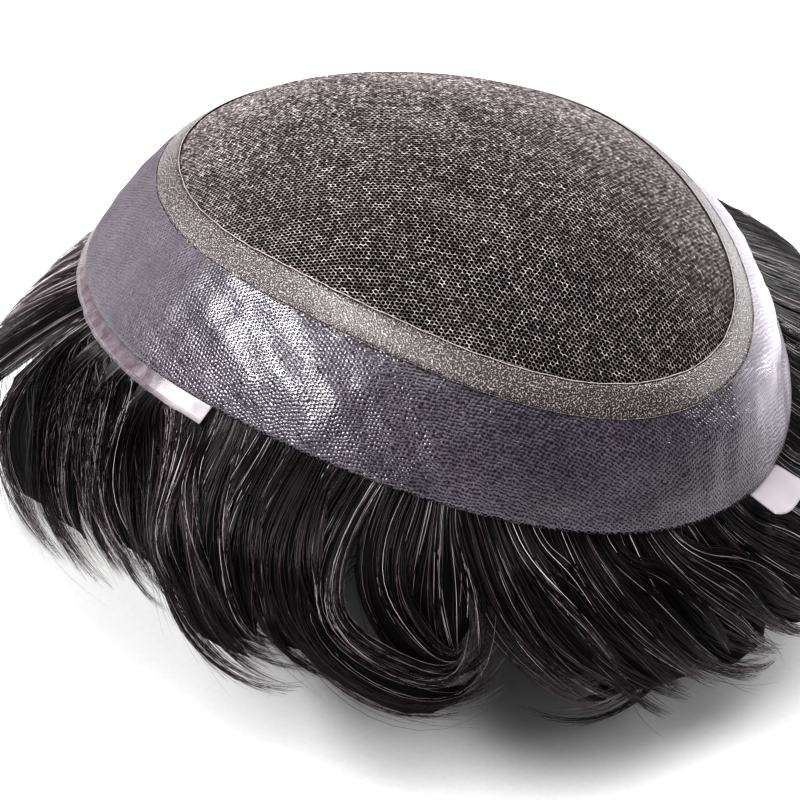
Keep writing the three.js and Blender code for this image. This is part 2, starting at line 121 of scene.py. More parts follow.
# One row for each lock, as in the part's source, with two at the front left made wider. at: its root, in
# degrees round the base. start, middle and tip: its heading, 0 straight down. bend: the share of its length
# at which it reaches middle. length, lift, width, thick: shares of the named sizes. layer: steps over the
# lowest locks.
LOCK_COLUMNS = ("at", "start", "middle", "tip", "bend", "length", "lift", "width", "thick", "layer")
LOCKS = {
    "hair_front": (
        (-118, 20, 24, -10, 0.4, 0.56, 1.1, 1.3, 1.2, 1),
        (-104, 10, 14, -20, 0.4, 0.52, 0.5, 1.2, 1.2, 0),
        (-92, 2, 0, -14, 0.4, 0.5, 0.3, 1.2, 1.2, 1),
        (-80, -6, -10, 10, 0.4, 0.5, 0.3, 1.2, 1.2, 0),
        (-69, -14, -20, 16, 0.4, 0.52, 0.9, 1.1, 1.6, 1),
        (-60, -24, -26, 40, 0.42, 0.56, 1.4, 1.6, 2.2, 0),
        (-51, -32, 10, 90, 0.3, 0.74, 1.4, 1.15, 2.3, 2),
        (-43, -40, 78, 72, 0.28, 0.86, 1.3, 1, 2.1, 3),
        (-35, -42, 74, 64, 0.28, 0.8, 1.2, 1, 1.8, 2),
    ),
    "hair_left": (
        (-27, -30, 70, 58, 0.28, 0.66, 1, 1.1, 1.6, 1),
        (-18, -10, 62, 46, 0.32, 0.56, 1, 1, 1.4, 2),
        (-9, 10, 46, 40, 0.4, 0.54, 0.9, 0.9, 1.2, 1),
        (-1, 16, 32, 110, 0.6, 0.62, 0.85, 0.9, 1.1, 2),
        (8, -4, 24, 96, 0.55, 0.54, 0.85, 0.9, 1.1, 1),
        (17, -12, 26, 84, 0.5, 0.5, 0.8, 0.9, 1.1, 2),
        (26, -30, 72, 200, 0.52, 0.86, 0.9, 0.6, 1, 3),
        (33, -24, 40, 180, 0.5, 0.58, 0.8, 0.5, 0.9, 1),
        (39, -8, 10, 24, 0.5, 0.42, 0.7, 0.8, 0.9, 0),
    ),
    "hair_back": (
        (47, 18, 42, 46, 0.4, 0.47, 0.8, 1, 1.1, 1),
        (59, 12, 44, 50, 0.4, 0.5, 0.8, 1.1, 1.1, 2),
        (71, 16, 44, 54, 0.4, 0.52, 0.8, 1.1, 1.1, 1),
        (74, 0, -34, -104, 0.5, 0.62, 0.6, 0.6, 0.8, 0),
        (84, 20, 46, 56, 0.4, 0.53, 0.85, 1.1, 1.1, 2),
        (97, 22, 42, 40, 0.4, 0.54, 0.9, 1.1, 1.1, 1),
        (110, 20, 34, 20, 0.4, 0.54, 1, 1.2, 1.2, 2),
        (124, 12, 22, 20, 0.4, 0.56, 1.3, 1.2, 1.4, 1),
    ),
    "hair_right": (
        (139, 6, 10, 40, 0.4, 0.58, 1.5, 1.2, 1.5, 2),
        (152, 4, 0, 50, 0.45, 0.58, 1.6, 1.2, 1.6, 1),
        (166, 0, -16, 20, 0.45, 0.58, 1.4, 1.2, 1.5, 2),
        (180, -8, -34, -60, 0.5, 0.56, 0.9, 1.2, 1.2, 1),
        (194, 0, -52, -60, 0.4, 0.6, 0.9, 1.2, 1.2, 2),
        (207, 24, -70, -56, 0.32, 0.72, 1, 1.1, 1.4, 3),
        (220, 38, -76, -60, 0.28, 0.84, 1.2, 1.1, 1.8, 2),
        (230, 4, -36, -76, 0.3, 0.74, 1.3, 1.1, 2.1, 2),
    ),
}


# Forms


def smooth(share):
    """A share eased in and out, three times its square less twice its cube."""
    s = np.clip(share, 0.0, 1.0)
    return s * s * (3.0 - 2.0 * s)


def unit(vectors):
    """Vectors made one long."""
    return vectors / np.maximum(np.linalg.norm(vectors, axis=-1, keepdims=True), 1e-12)


def signed_degrees(turn):
    """An angle round the base in degrees, from -180 to 180."""
    return (np.degrees(turn) + 180) % 360 - 180


def around(side, front, back, turn):
    """A size that goes smoothly from side to front to side to back round the base."""
    s = np.sin(turn)
    end = (front + back) / 2 + (back - front) / 2 * s
    return side + (end - side) * s * s


def plan_radius(turn, lift=0.0):
    """Radius of the oval at its widest: an ellipse's, pulled in most midway between its four ends."""
    depth = np.where(np.sin(turn) < 0, FRONT, BACK)
    x = np.cos(turn) / (HALF_WIDTH + lift)
    y = np.sin(turn) / (depth + lift)
    size = x * x + y * y
    corner = 2 * x * y / size
    return (1 - CORNER_PULL * corner * corner) / np.sqrt(size)


def polar(turn, radius, height):
    """Points at an angle and a radius round the upright axis, at a height over the dome's middle."""
    return np.stack(
        np.broadcast_arrays(radius * np.cos(turn), radius * np.sin(turn), height - SEAT_HEIGHT), axis=-1
    )


def dome(turn, tilt, lift=0.0):
    """Points of the dome: radius times the tilt's sine out, height times its cosine up, both plus lift."""
    return polar(turn, plan_radius(turn, lift) * np.sin(tilt), (HEIGHT + lift) * np.cos(tilt))


def rim_tilt(turn):
    """Tilt of the base's edge."""
    return np.radians(around(RIM_SIDE, RIM_FRONT, RIM_BACK, turn))


def tilt_along(turn, tilt, distance):
    """The tilt a distance further down the dome, in twelve steps of distance over the arc's own speed."""
    radius = plan_radius(turn)
    at = tilt + 0.0 * radius
    for _ in range(12):
        at = at + distance / 12 / np.hypot(radius * np.cos(at), HEIGHT * np.sin(at))
    return at


def arc_length(turn, tilt):
    """Length of the dome's arc from its top down to a tilt, by the middle rule over 24 strips."""
    radius = plan_radius(turn)
    total = 0.0
    for k in range(24):
        middle = tilt * (k + 0.5) / 24
        total = total + tilt / 24 * np.hypot(radius * np.cos(middle), HEIGHT * np.sin(middle))
    return total


def skin_width(turn):
    """Width of the skin band from the edge up to the seam."""
    return around(SKIN_SIDE, SKIN_FRONT, SKIN_BACK, turn)


def seam_tilt(turn):
    """Tilt of the seam between lace and skin."""
    return tilt_along(turn, rim_tilt(turn), -skin_width(turn))


def skirt(turn, drop, lift):
    """Points a drop below the edge, on the dome's own ellipsoid carried on down."""
    height = (HEIGHT + lift) * np.cos(rim_tilt(turn)) - drop
    share = np.maximum(height, 0) / (HEIGHT + lift)
    return polar(turn, plan_radius(turn, lift) * np.sqrt(1 - share * share), height)


def over_strip(turn):
    """Whether an angle is in the stretch of the front strip."""
    degrees = np.degrees(turn)
    return (degrees < STRIP_END) & (degrees > -180 - STRIP_END)


def hair_top(turn):
    """Lift of the topmost hair at the edge: just under the skin, or under the strip where there is one."""
    return np.where(over_strip(turn), FILM_TOP - 0.6, -0.8)


def under_edge(points, depth):
    """Hair points kept under the base's edge: above it they stay below the film, and past it they may stand
    out by RISE for each millimetre further down, less at the front, and less their own depth. What would
    stand out more is pressed in and keeps its order."""
    turn = np.arctan2(points[..., 1], points[..., 0])
    height = points[..., 2] + SEAT_HEIGHT
    radius = np.hypot(points[..., 0], points[..., 1])
    drop = HEIGHT * np.cos(rim_tilt(turn)) - height
    degrees = np.degrees(turn)
    edge = np.where(over_strip(turn), STRIP_REACH, 0.2)
    half = np.degrees(TAB_WIDTH / 2 / plan_radius(np.radians(TAB_ANGLE)))
    edge = edge + 2.8 * smooth(1.6 - np.abs(degrees - TAB_ANGLE) / half)
    level = np.clip(height / HEIGHT, 0, 1)
    below = np.maximum(drop - edge, 0)
    rise = RISE * (1 - FRONT_PRESS * smooth(1.4 - np.abs(degrees - FRONT_MIDDLE) / FRONT_SPREAD))
    allowed = plan_radius(turn) * np.sqrt(1 - level * level) + hair_top(turn) + rise * below
    allowed = allowed - depth * (0.25 + 0.75 * smooth(below / 6))
    radius_now = allowed - PRESSED * np.logaddexp(0, (allowed - radius) / PRESSED)
    scale = (radius_now / np.maximum(radius, 1e-6))[..., None]
    return points * np.concatenate([scale, scale, np.ones_like(scale)], axis=-1)


def fold_share(turn, distance):
    """How much the long fold shows: a bell across the band's middle that fades at both its ends."""
    across = (distance - skin_width(turn) / 2) / FOLD_WIDTH
    degrees = np.degrees(turn) % 360
    along = (degrees - FOLD_MIDDLE) / FOLD_SPREAD
    return np.exp(-4 * across * across) * smooth(1.5 * (1 - np.abs(along)))


def flare(turn, distance):
    """How far the skin's edge stands out at the front left: a bell along the edge, fading up the band."""
    along = smooth(1.3 * (1 - np.abs(signed_degrees(turn) - FLARE_MIDDLE) / FLARE_SPREAD))
    return FLARE * along * np.clip(1 - distance / 24.0, 0, 1.5) ** 2


def cloth_plan(turn, arc):
    """The net's own flat coordinates: the arc from the top, laid out flat at its angle round the base."""
    return np.stack([arc * np.cos(turn), arc * np.sin(turn)], axis=-1)


def ripples(first, second, seed, waves, longest, shortest):
    """A smooth uneven surface between -1 and 1: a sum of waves of two coordinates in random directions."""
    rng = np.random.default_rng(seed)
    total = 0.0
    for length in np.geomspace(longest, shortest, waves):
        heading, phase = rng.uniform(0, 2 * np.pi, 2)
        total = total + np.sin(
            2 * np.pi * (first * np.cos(heading) + second * np.sin(heading)) / length + phase
        )
    return total / waves


# Meshes


def grid_faces(rows, columns, closed_rows=False, closed_columns=False):
    """Quads of a grid whose rows go down and whose columns go round to the left, facing out."""
    r = np.arange(rows if closed_rows else rows - 1)[:, None]
    c = np.arange(columns if closed_columns else columns - 1)[None, :]
    r2, c2 = (r + 1) % rows, (c + 1) % columns
    return np.stack(
        [r * columns + c, r2 * columns + c, r2 * columns + c2, r * columns + c2], axis=-1
    ).reshape(-1, 4)


def sheet_faces(rows, columns):
    """Faces of a strip of sheet, whose top rows go out and whose under rows come back, with closed ends."""
    wall = grid_faces(2 * rows, columns, True, False)
    row = np.arange(rows - 1)
    halves = np.stack([row, row + 1, 2 * rows - 2 - row, 2 * rows - 1 - row], -1)
    return [wall, halves * columns, halves[:, ::-1] * columns + columns - 1]


def tube_walls(many, length, sides, closed=False):
    """Wall quads of many tubes, from each ring to the next, and from the last to the first if closed."""
    first = (np.arange(many) * length * sides)[:, None, None]
    m = np.arange(length if closed else length - 1)[None, :, None]
    here, after = first + m * sides, first + (m + 1) % length * sides
    k = np.arange(sides)[None, None, :]
    k2 = (k + 1) % sides
    return np.stack([here + k, here + k2, after + k2, after + k], axis=-1).reshape(-1, 4)


def tube_ends(many, length, sides):
    """The faces at the starts and at the ends of many tubes."""
    first = (np.arange(many) * length * sides)[:, None]
    return [first + np.arange(sides)[::-1], first + (length - 1) * sides + np.arange(sides)]


def ring_points(paths, along, radius, guide, angle):
    """Rings of points across paths: at each angle, the radius times its cosine sideways, at right angles to
    the guide, and times its sine up."""
    side = unit(np.cross(guide, along))
    up = np.cross(along, side)
    ring = side[:, :, None] * np.cos(angle) + up[:, :, None] * np.sin(angle)
    return (paths[:, :, None] + radius[:, :, None, None] * ring).reshape(-1, 3)


def tubes(paths, radius, guide, sides):
    """Tubes along many open paths, their first corner facing the guide direction. Their ends are closed."""
    many, length = paths.shape[:2]
    along = unit(np.gradient(paths, axis=1))
    angle = (np.pi / 2 + 2 * np.pi * np.arange(sides) / sides)[:, None]
    points = ring_points(paths, along, radius, guide, angle)
    return points, [tube_walls(many, length, sides), *tube_ends(many, length, sides)]


def rings(paths, radius, guide, sides):
    """Tubes along many closed paths, each path's end joined to its start."""
    many, length = paths.shape[:2]
    along = unit(np.roll(paths, -1, axis=1) - np.roll(paths, 1, axis=1))
    angle = (2 * np.pi * np.arange(sides) / sides)[:, None]
    points = ring_points(paths, along, radius, guide, angle)
    return points, [tube_walls(many, length, sides, True)]


def ribs(paths, width, out):
    """Strands along many paths as low roofs of two slopes: a ridge that faces out, and an edge on either
    side of it, half a width away and as much lower."""
    many, length = paths.shape[:2]
    along = unit(np.gradient(paths, axis=1))
    side = unit(np.cross(out, along))
    up = np.cross(along, side)
    half = width[:, :, None] / 2
    low = paths - 0.6 * half * up
    points = np.stack([low - half * side, paths + 0.4 * half * up, low + half * side], axis=2)
    first = (np.arange(many) * length * 3)[:, None, None]
    m = (np.arange(length - 1) * 3)[None, :, None]
    k = np.arange(2)[None, None, :]
    slopes = np.stack(
        [first + m + k, first + m + k + 3, first + m + k + 4, first + m + k + 1], axis=-1
    ).reshape(-1, 4)
    return points.reshape(-1, 3), [slopes]


def gathered(parts):
    """Several (points, faces, values) parts as one, with the faces counted on."""
    points, faces, values, count = [], [], {}, 0
    for part_points, part_faces, part_values in parts:
        faces += [f + count for f in part_faces]
        points.append(part_points)
        for name, value in part_values.items():
            values.setdefault(name, []).append(value)
        count += len(part_points)
    return np.concatenate(points), faces, {n: np.concatenate(v) for n, v in values.items()}


def new_piece(name, node, material, points, faces, values=None, plan=None):
    """Makes a piece from points in millimetres and arrays of faces, with point values and a flat plan as
    UV, and lets it stand for its CAD node."""
    mesh = bpy.data.meshes.new(name)
    mesh.vertices.add(len(points))
    mesh.vertices.foreach_set("co", (np.asarray(points) * MM).astype(np.float32).ravel())
    corners = np.concatenate([f.ravel() for f in faces]).astype(np.int32)
    sizes = np.concatenate([np.full(len(f), f.shape[1]) for f in faces])
    mesh.loops.add(len(corners))
    mesh.loops.foreach_set("vertex_index", corners)
    mesh.polygons.add(len(sizes))
    mesh.polygons.foreach_set("loop_start", np.concatenate([[0], np.cumsum(sizes)[:-1]]).astype(np.int32))
    mesh.polygons.foreach_set("use_smooth", np.ones(len(sizes), bool))
    mesh.update(calc_edges=True)
    for key, value in (values or {}).items():
        attribute = mesh.attributes.new(key, "FLOAT", "POINT")
        attribute.data.foreach_set("value", np.asarray(value, np.float32))
    if plan is not None:
        layer = mesh.uv_layers.new(name="plan")
        layer.data.foreach_set("uv", np.asarray(plan, np.float32)[corners].ravel())
    if mesh.validate():
        raise RuntimeError(name + " had faces that had to be mended")
    piece = bpy.data.objects.new(name, mesh)
    bpy.context.scene.collection.objects.link(piece)
    mesh.materials.append(material)
    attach(piece, BODY)
    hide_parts(node)
    return piece


# Materials


def linear(colour):
    """An sRGB hex colour as linear red, green, blue and alpha."""
    parts = [int(colour[i : i + 2], 16) / 255 for i in (1, 3, 5)]
    return [c / 12.92 if c <= 0.04045 else ((c + 0.055) / 1.055) ** 2.4 for c in parts] + [1.0]


def add(tree, kind, settings=(), links=()):
    """Adds a node. Settings are its properties, its unlinked inputs and a ramp's stops; links are the
    sources of its inputs."""
    made = tree.nodes.new("ShaderNode" + kind)
    for key, value in dict(settings).items():
        if key == "stops":
            elements = made.color_ramp.elements
            while len(elements) < len(value):
                elements.new(0.5)
            for element, (position, colour) in zip(elements, value):
                element.position, element.color = position, colour
        elif isinstance(key, int) or key in made.inputs:
            made.inputs[key].default_value = value
        else:
            setattr(made, key, value)
    for key, source in dict(links).items():
        tree.links.new(source, made.inputs[key])
    return made


def new_material(name):
    """An empty material with its node tree, shader and output."""
    material = bpy.data.materials.new(name)
    material.use_nodes = True
    tree = material.node_tree
    shader = tree.nodes["Principled BSDF"]
    return material, tree, shader


def hair_material(name, colour, roughness, shine):
    """Human hair, off black with some grey, washed and air dried. Each strand has its own tone: near black,
    brown or white. The brown tones are partly the hair's own colour and partly painted streaks of shine. A
    dull cuticle gives narrow streaks of shine."""
    material, tree, shader = new_material(name)
    tone = add(tree, "Attribute", {"attribute_name": "tone"})
    place = add(tree, "TexCoord")
    # Tone wanders along a strand over about 6 mm
    patches = add(tree, "TexNoise", {"Scale": 160.0, "Detail": 3.0}, {"Vector": place.outputs["Object"]})
    wander = add(
        tree, "Math", {"operation": "MULTIPLY_ADD", 1: 0.26, 2: -0.13}, {0: patches.outputs[0]}
    )
    # The lock's dense middle is combed lengthwise: streaks about 0.4 mm wide and 20 mm long
    comb = add(tree, "UVMap", {"uv_map": "plan"})
    drawn = add(
        tree, "VectorMath", {"operation": "MULTIPLY", 1: (2.5, 0.05, 1.0)}, {0: comb.outputs[0]}
    )
    streaks = add(tree, "TexNoise", {"Scale": 1.0, "Detail": 3.0}, {"Vector": drawn.outputs[0]})
    streak = add(
        tree, "Math", {"operation": "MULTIPLY_ADD", 1: 0.9, 2: -0.45}, {0: streaks.outputs[0]}
    )
    toned = add(tree, "Math", {"operation": "ADD"}, {0: tone.outputs["Fac"], 1: streak.outputs[0]})
    total = add(tree, "Math", {"operation": "ADD"}, {0: toned.outputs[0], 1: wander.outputs[0]})
    bump = add(tree, "Bump", {"Strength": 0.8, "Distance": 0.0006}, {"Height": streaks.outputs[0]})
    tree.links.new(bump.outputs[0], shader.inputs["Normal"])
    ramp = add(
        tree,
        "ValToRGB",
        {
            "stops": [
                (0.0, linear("#040304")),
                (0.3, linear("#0e090c")),
                # Middle brown tones, partly the hair's own and partly painted streaks of shine
                (0.58, colour),
                (0.74, linear("#57454a")),
                (0.88, linear("#a39a9d")),
                (1.0, linear("#e2dcde")),
            ]
        },
        {0: total.outputs[0]},
    )
    tree.links.new(ramp.outputs[0], shader.inputs["Base Color"])
    # The dense middle, whose tone is nought, has no smooth outside to shine
    dull = add(
        tree,
        "MapRange",
        {"From Min": 0.0, "From Max": 0.05, "To Min": 0.9, "To Max": roughness},
        {"Value": tone.outputs["Fac"]},
    )
    tree.links.new(dull.outputs[0], shader.inputs["Roughness"])
    shader.inputs["IOR"].default_value = 1.55
    shader.inputs["Specular IOR Level"].default_value = shine
    return material


def lace_material(sizes):
    """Polyester lace, knitted from fine grey-brown yarn. Threads differ in tone, and a few knots are
    painted near white as glints.
    """
    material, tree, shader = new_material("polyester lace")
    tone = add(tree, "Attribute", {"attribute_name": "tone"})
    ramp = add(
        tree,
        "ValToRGB",
        {
            "stops": [
                (0.0, linear("#1d191a")),
                (0.4, sizes.thread_colour),
                (0.8, linear("#b9afb0")),
                # The top stop is the near white of the painted glints
                (1.0, linear("#f4f0f0")),
            ]
        },
        {0: tone.outputs["Fac"]},
    )
    tree.links.new(ramp.outputs[0], shader.inputs["Base Color"])
    shader.inputs["Roughness"].default_value = 0.5
    return material


def border_material(sizes):
    """Two layers of lace pressed flat in clear polyurethane: mauve-brown mesh with small dark holes at no
    fixed spacing, and a pale thread along the inner edge."""
    material, tree, shader = new_material("doubled lace in polyurethane")
    plan = add(tree, "UVMap", {"uv_map": "plan"})
    # Holes of the two nets, about 0.9 mm apart, cross over at random and leave dots of under half that size
    holes = add(
        tree,
        "TexVoronoi",
        {"Scale": 2.6, "Randomness": 1.0, "voronoi_dimensions": "2D"},
        {"Vector": plan.outputs[0]},
    )
    fine = add(tree, "TexNoise", {"Scale": 1.3, "Detail": 4.0}, {"Vector": plan.outputs[0]})
    mixed = add(
        tree,
        "Math",
        {"operation": "MULTIPLY_ADD", 1: 0.6},
        {0: fine.outputs[0], 2: holes.outputs["Distance"]},
    )
    ramp = add(
        tree,
        "ValToRGB",
        {
            "stops": [
                (0.52, linear("#040203")),
                (0.68, sizes.border_colour),
                (0.82, linear("#4d4245")),
                (1.0, linear("#ab9e9d")),
            ]
        },
        {0: mixed.outputs[0]},
    )
    cord = add(tree, "Attribute", {"attribute_name": "tone"})
    coloured = add(
        tree,
        "Mix",
        {"data_type": "RGBA", 7: linear("#c2b8b6")},
        {0: cord.outputs["Fac"], 6: ramp.outputs[0]},
    )
    tree.links.new(coloured.outputs[2], shader.inputs["Base Color"])
    bump = add(tree, "Bump", {"Strength": 0.6, "Distance": 0.0002}, {"Height": mixed.outputs[0]})
    tree.links.new(bump.outputs[0], shader.inputs["Normal"])
    shader.inputs["Roughness"].default_value = 0.22
    shader.inputs["Specular IOR Level"].default_value = 1.0
    return material


def skin_material(sizes):
    """Thin polyurethane skin cast over fine net. It is grey-violet because dark hair shows through it, its
    gloss is broken by the net's rows of dots, and it turns milky where the film is folded, a pale colour
    that is partly the folded film's own and partly a painted highlight along the fold. Handling has left it
    dull at the front, and there a pale colour painted between its dots is a painted sheen, standing in for
    the film's reflection seen edge on."""
    material, tree, shader = new_material("polyurethane skin over net")
    flat = add(tree, "UVMap", {"uv_map": "plan"})
    # The cloth under the film is uneven: its rows wander by up to 0.3 mm over 3 mm
    shift = add(tree, "TexNoise", {"Scale": 0.35, "Detail": 2.0}, {"Vector": flat.outputs[0]})
    plan = add(
        tree,
        "VectorMath",
        {"operation": "MULTIPLY_ADD", 1: (1.6, 1.6, 0.0)},
        {0: shift.outputs["Color"], 2: flat.outputs[0]},
    )
    spacing, row, turned = sizes.net_spacing / MM, sizes.net_row / MM, sizes.net_turn
    total = None
    # The net's three sets of rows, as waves: one over the spacing, with half a wave over the row, either
    # way, and one over the row
    for across, up, strength in (
        (1 / spacing, 0.5 / row, 1.3),
        (-1 / spacing, 0.5 / row, 0.7),
        (0.0, 1 / row, 1.0),
    ):
        x = across * math.cos(turned) - up * math.sin(turned)
        y = across * math.sin(turned) + up * math.cos(turned)
        phase = add(
            tree,
            "VectorMath",
            {"operation": "DOT_PRODUCT", 1: (2 * math.pi * x, 2 * math.pi * y, 0.0)},
            {0: plan.outputs[0]},
        )
        cosine = add(tree, "Math", {"operation": "COSINE"}, {0: phase.outputs["Value"]})
        wave = add(tree, "Math", {"operation": "MULTIPLY", 1: strength}, {0: cosine.outputs[0]})
        total = (
            wave
            if total is None
            else add(tree, "Math", {"operation": "ADD"}, {0: total.outputs[0], 1: wave.outputs[0]})
        )
    # Dark dots where the waves meet, and paler film between them
    dots = add(
        tree,
        "MapRange",
        {"From Min": 2.6, "From Max": -1.0, "To Min": 0.0, "To Max": 0.6},
        {"Value": total.outputs[0]},
    )
    wide = add(tree, "TexNoise", {"Scale": 0.05, "Detail": 3.0}, {"Vector": plan.outputs[0]})
    speck = add(tree, "TexNoise", {"Scale": 0.9, "Detail": 2.0}, {"Vector": plan.outputs[0]})
    uneven = add(
        tree, "Math", {"operation": "MULTIPLY_ADD", 1: 0.7}, {0: speck.outputs[0], 2: dots.outputs[0]}
    )
    ramp = add(
        tree,
        "ValToRGB",
        {
            "stops": [
                (0.35, linear("#070508")),
                (0.62, sizes.skin_colour),
                (0.8, linear("#3a333d")),
                (1.0, linear("#665c6a")),
            ]
        },
        {0: uneven.outputs[0]},
    )
    shade = add(
        tree,
        "MapRange",
        {"From Min": 0.35, "From Max": 0.65, "To Min": 0.75, "To Max": 1.15},
        {"Value": wide.outputs[0]},
    )
    shaded = add(
        tree, "VectorMath", {"operation": "SCALE"}, {0: ramp.outputs[0], "Scale": shade.outputs[0]}
    )
    # Milky where the film is folded: partly the folded film's own whitening, partly a painted highlight and
    # reflection along the fold
    fold = add(tree, "Attribute", {"attribute_name": "fold"})
    milky = add(
        tree,
        "Mix",
        {"data_type": "RGBA", 7: linear("#cfc7d4")},
        {0: fold.outputs["Fac"], 6: shaded.outputs[0]},
    )
    # Where the film is dull, a pale colour is painted between its dots: a painted sheen that stands in for
    # the film's reflection seen edge on
    dull = add(tree, "Attribute", {"attribute_name": "dull"})
    raised = add(
        tree,
        "MapRange",
        {"From Min": 0.5, "From Max": 0.75, "To Min": 0.0, "To Max": 0.11},
        {"Value": uneven.outputs[0]},
    )
    painted_sheen = add(tree, "Math", {"operation": "MULTIPLY"}, {0: dull.outputs["Fac"], 1: raised.outputs[0]})
    with_painted_sheen = add(
        tree,
        "Mix",
        {"data_type": "RGBA", 7: linear("#b0a4ac")},
        {0: painted_sheen.outputs[0], 6: milky.outputs[2]},
    )
    tree.links.new(with_painted_sheen.outputs[2], shader.inputs["Base Color"])
    bump = add(tree, "Bump", {"Strength": 1.0, "Distance": 0.00013}, {"Height": uneven.outputs[0]})
    tree.links.new(bump.outputs[0], shader.inputs["Normal"])
    gloss = add(tree, "MapRange", {"To Min": 0.16, "To Max": 0.7}, {"Value": dull.outputs["Fac"]})
    tree.links.new(gloss.outputs[0], shader.inputs["Roughness"])
    shader.inputs["IOR"].default_value = 1.5
    shader.inputs["Specular IOR Level"].default_value = 1.0
    return material


def film_material(sizes):
    """Clear polyurethane film, cast about 0.1 mm thick. It is pinkish where hair and light come through,
    and its small creases carry sharp shine. Light and dark patches painted over it, about 2.5 mm apart,
    stand in for the sheen and shade of fine creases."""
    material, tree, shader = new_material("clear polyurethane film")
    place = add(tree, "TexCoord")
    # Light and dark patches about 2.5 mm apart: painted sheen and shade of fine creases
    creases = add(
        tree,
        "TexNoise",
        {"Scale": 400.0, "Detail": 1.0, "Distortion": 0.4},
        {"Vector": place.outputs["Object"]},
    )
    ramp = add(
        tree,
        "ValToRGB",
        {"stops": [(0.3, linear("#75686e")), (0.7, sizes.film_colour)]},
        {0: creases.outputs[0]},
    )
    milky = add(tree, "Attribute", {"attribute_name": "milky"})
    paled = add(
        tree,
        "Mix",
        {"data_type": "RGBA", 7: linear("#e4dde2")},
        {0: milky.outputs["Fac"], 6: ramp.outputs[0]},
    )
    tree.links.new(paled.outputs[2], shader.inputs["Base Color"])
    shader.inputs["Roughness"].default_value = 0.2
    shader.inputs["IOR"].default_value = 1.5
    shader.inputs["Alpha"].default_value = 0.55
    return material


def paper_material():
    """Matt white background paper."""
    material, tree, shader = new_material("matt paper")
    place = add(tree, "TexCoord")
    fibre = add(tree, "TexNoise", {"Scale": 900.0}, {"Vector": place.outputs["Object"]})
    ramp = add(
        tree,
        "ValToRGB",
        {"stops": [(0.3, linear("#f8f8f8")), (0.7, linear("#fcfcfc"))]},
        {0: fibre.outputs[0]},
    )
    tree.links.new(ramp.outputs[0], shader.inputs["Base Color"])
    shader.inputs["Roughness"].default_value = 0.9
    return material


# Hair


def lock_table(name):
    """A piece's rows as named columns."""
    rows = np.array(LOCKS[name], float)
    return {column: rows[:, i] for i, column in enumerate(LOCK_COLUMNS)}


def heading_at(lock, share):
    """Heading of a lock: eased from start to middle up to its bend, then from middle to tip."""
    early = lock["start"] + (lock["middle"] - lock["start"]) * smooth(share / lock["bend"])
    late = lock["middle"] + (lock["tip"] - lock["middle"]) * smooth(
        (share - lock["bend"]) / (1 - lock["bend"])
    )
    return np.where(share < lock["bend"], early, late)


def stand_off(lock, drop):
    """How far a lock's underside stands out from the ellipsoid at a drop below the edge."""
    below = np.maximum(drop - STRIP_REACH, 0)
    rise = np.sin(np.pi / 2 * np.minimum(below / (LIFT_DROP - STRIP_REACH), 1))
    settled = smooth(below / ROOT_DROP)
    layers = (GAP + lock["layer"] * LAYER_STEP) * settled
    return GAP - MAT_UNDER_FILM + layers + LOCK_LIFT * lock["lift"] * rise


def half_thickness(lock, share):
    """Half a lock's thickness: thin at the root, full at 0.4 of its length, then round to a thin tip."""
    grown = 0.1 + 0.9 * smooth(share / 0.3)
    taper = 0.2 + 0.8 * np.sqrt(np.maximum(1 - (np.maximum(share - 0.4, 0) / 0.6) ** 2, 0))
    return LOCK_THICKNESS / 2 * lock["thick"] * grown * taper


def half_width(lock, share, point=0.12):
    """Half a lock's width: narrower at the root, full by 0.45 of its length, then round to its point."""
    grown = 0.6 + 0.4 * smooth(share / 0.3)
    taper = point + (1 - point) * np.sqrt(np.maximum(1 - (np.maximum(share - 0.45, 0) / 0.55) ** 2, 0))
    return LOCK_WIDTH / 2 * lock["width"] * grown * taper


def lock_lines(lock, samples, reach):
    """Middle lines of locks with their frames: each small step turns by its sine over the radius and drops
    by its cosine. Returns shares, points and the directions across and out of each lock."""
    shares = np.linspace(0.0, reach, samples)
    step = LOCK_LENGTH * lock["length"] * reach / (samples - 1)
    turn = np.radians(lock["at"])
    drop = np.full(len(turn), -ROOT_TUCK)
    points = np.empty((len(turn), samples, 3))
    for k, share in enumerate(shares):
        height = HEIGHT * np.cos(rim_tilt(turn)) - drop
        level = np.maximum(height, 0) / HEIGHT
        radius = plan_radius(turn) * np.sqrt(1 - level * level)
        radius = radius + stand_off(lock, drop) + half_thickness(lock, share)
        points[:, k] = polar(turn, radius, height)
        heading = np.radians(heading_at(lock, share))
        turn = turn + step * np.sin(heading) / radius
        drop = drop + step * np.cos(heading)
    along = unit(np.gradient(points, axis=1))
    out = unit(points * (1, 1, 0))
    across = unit(np.cross(out, along))
    return shares, points, across, unit(np.cross(along, across))


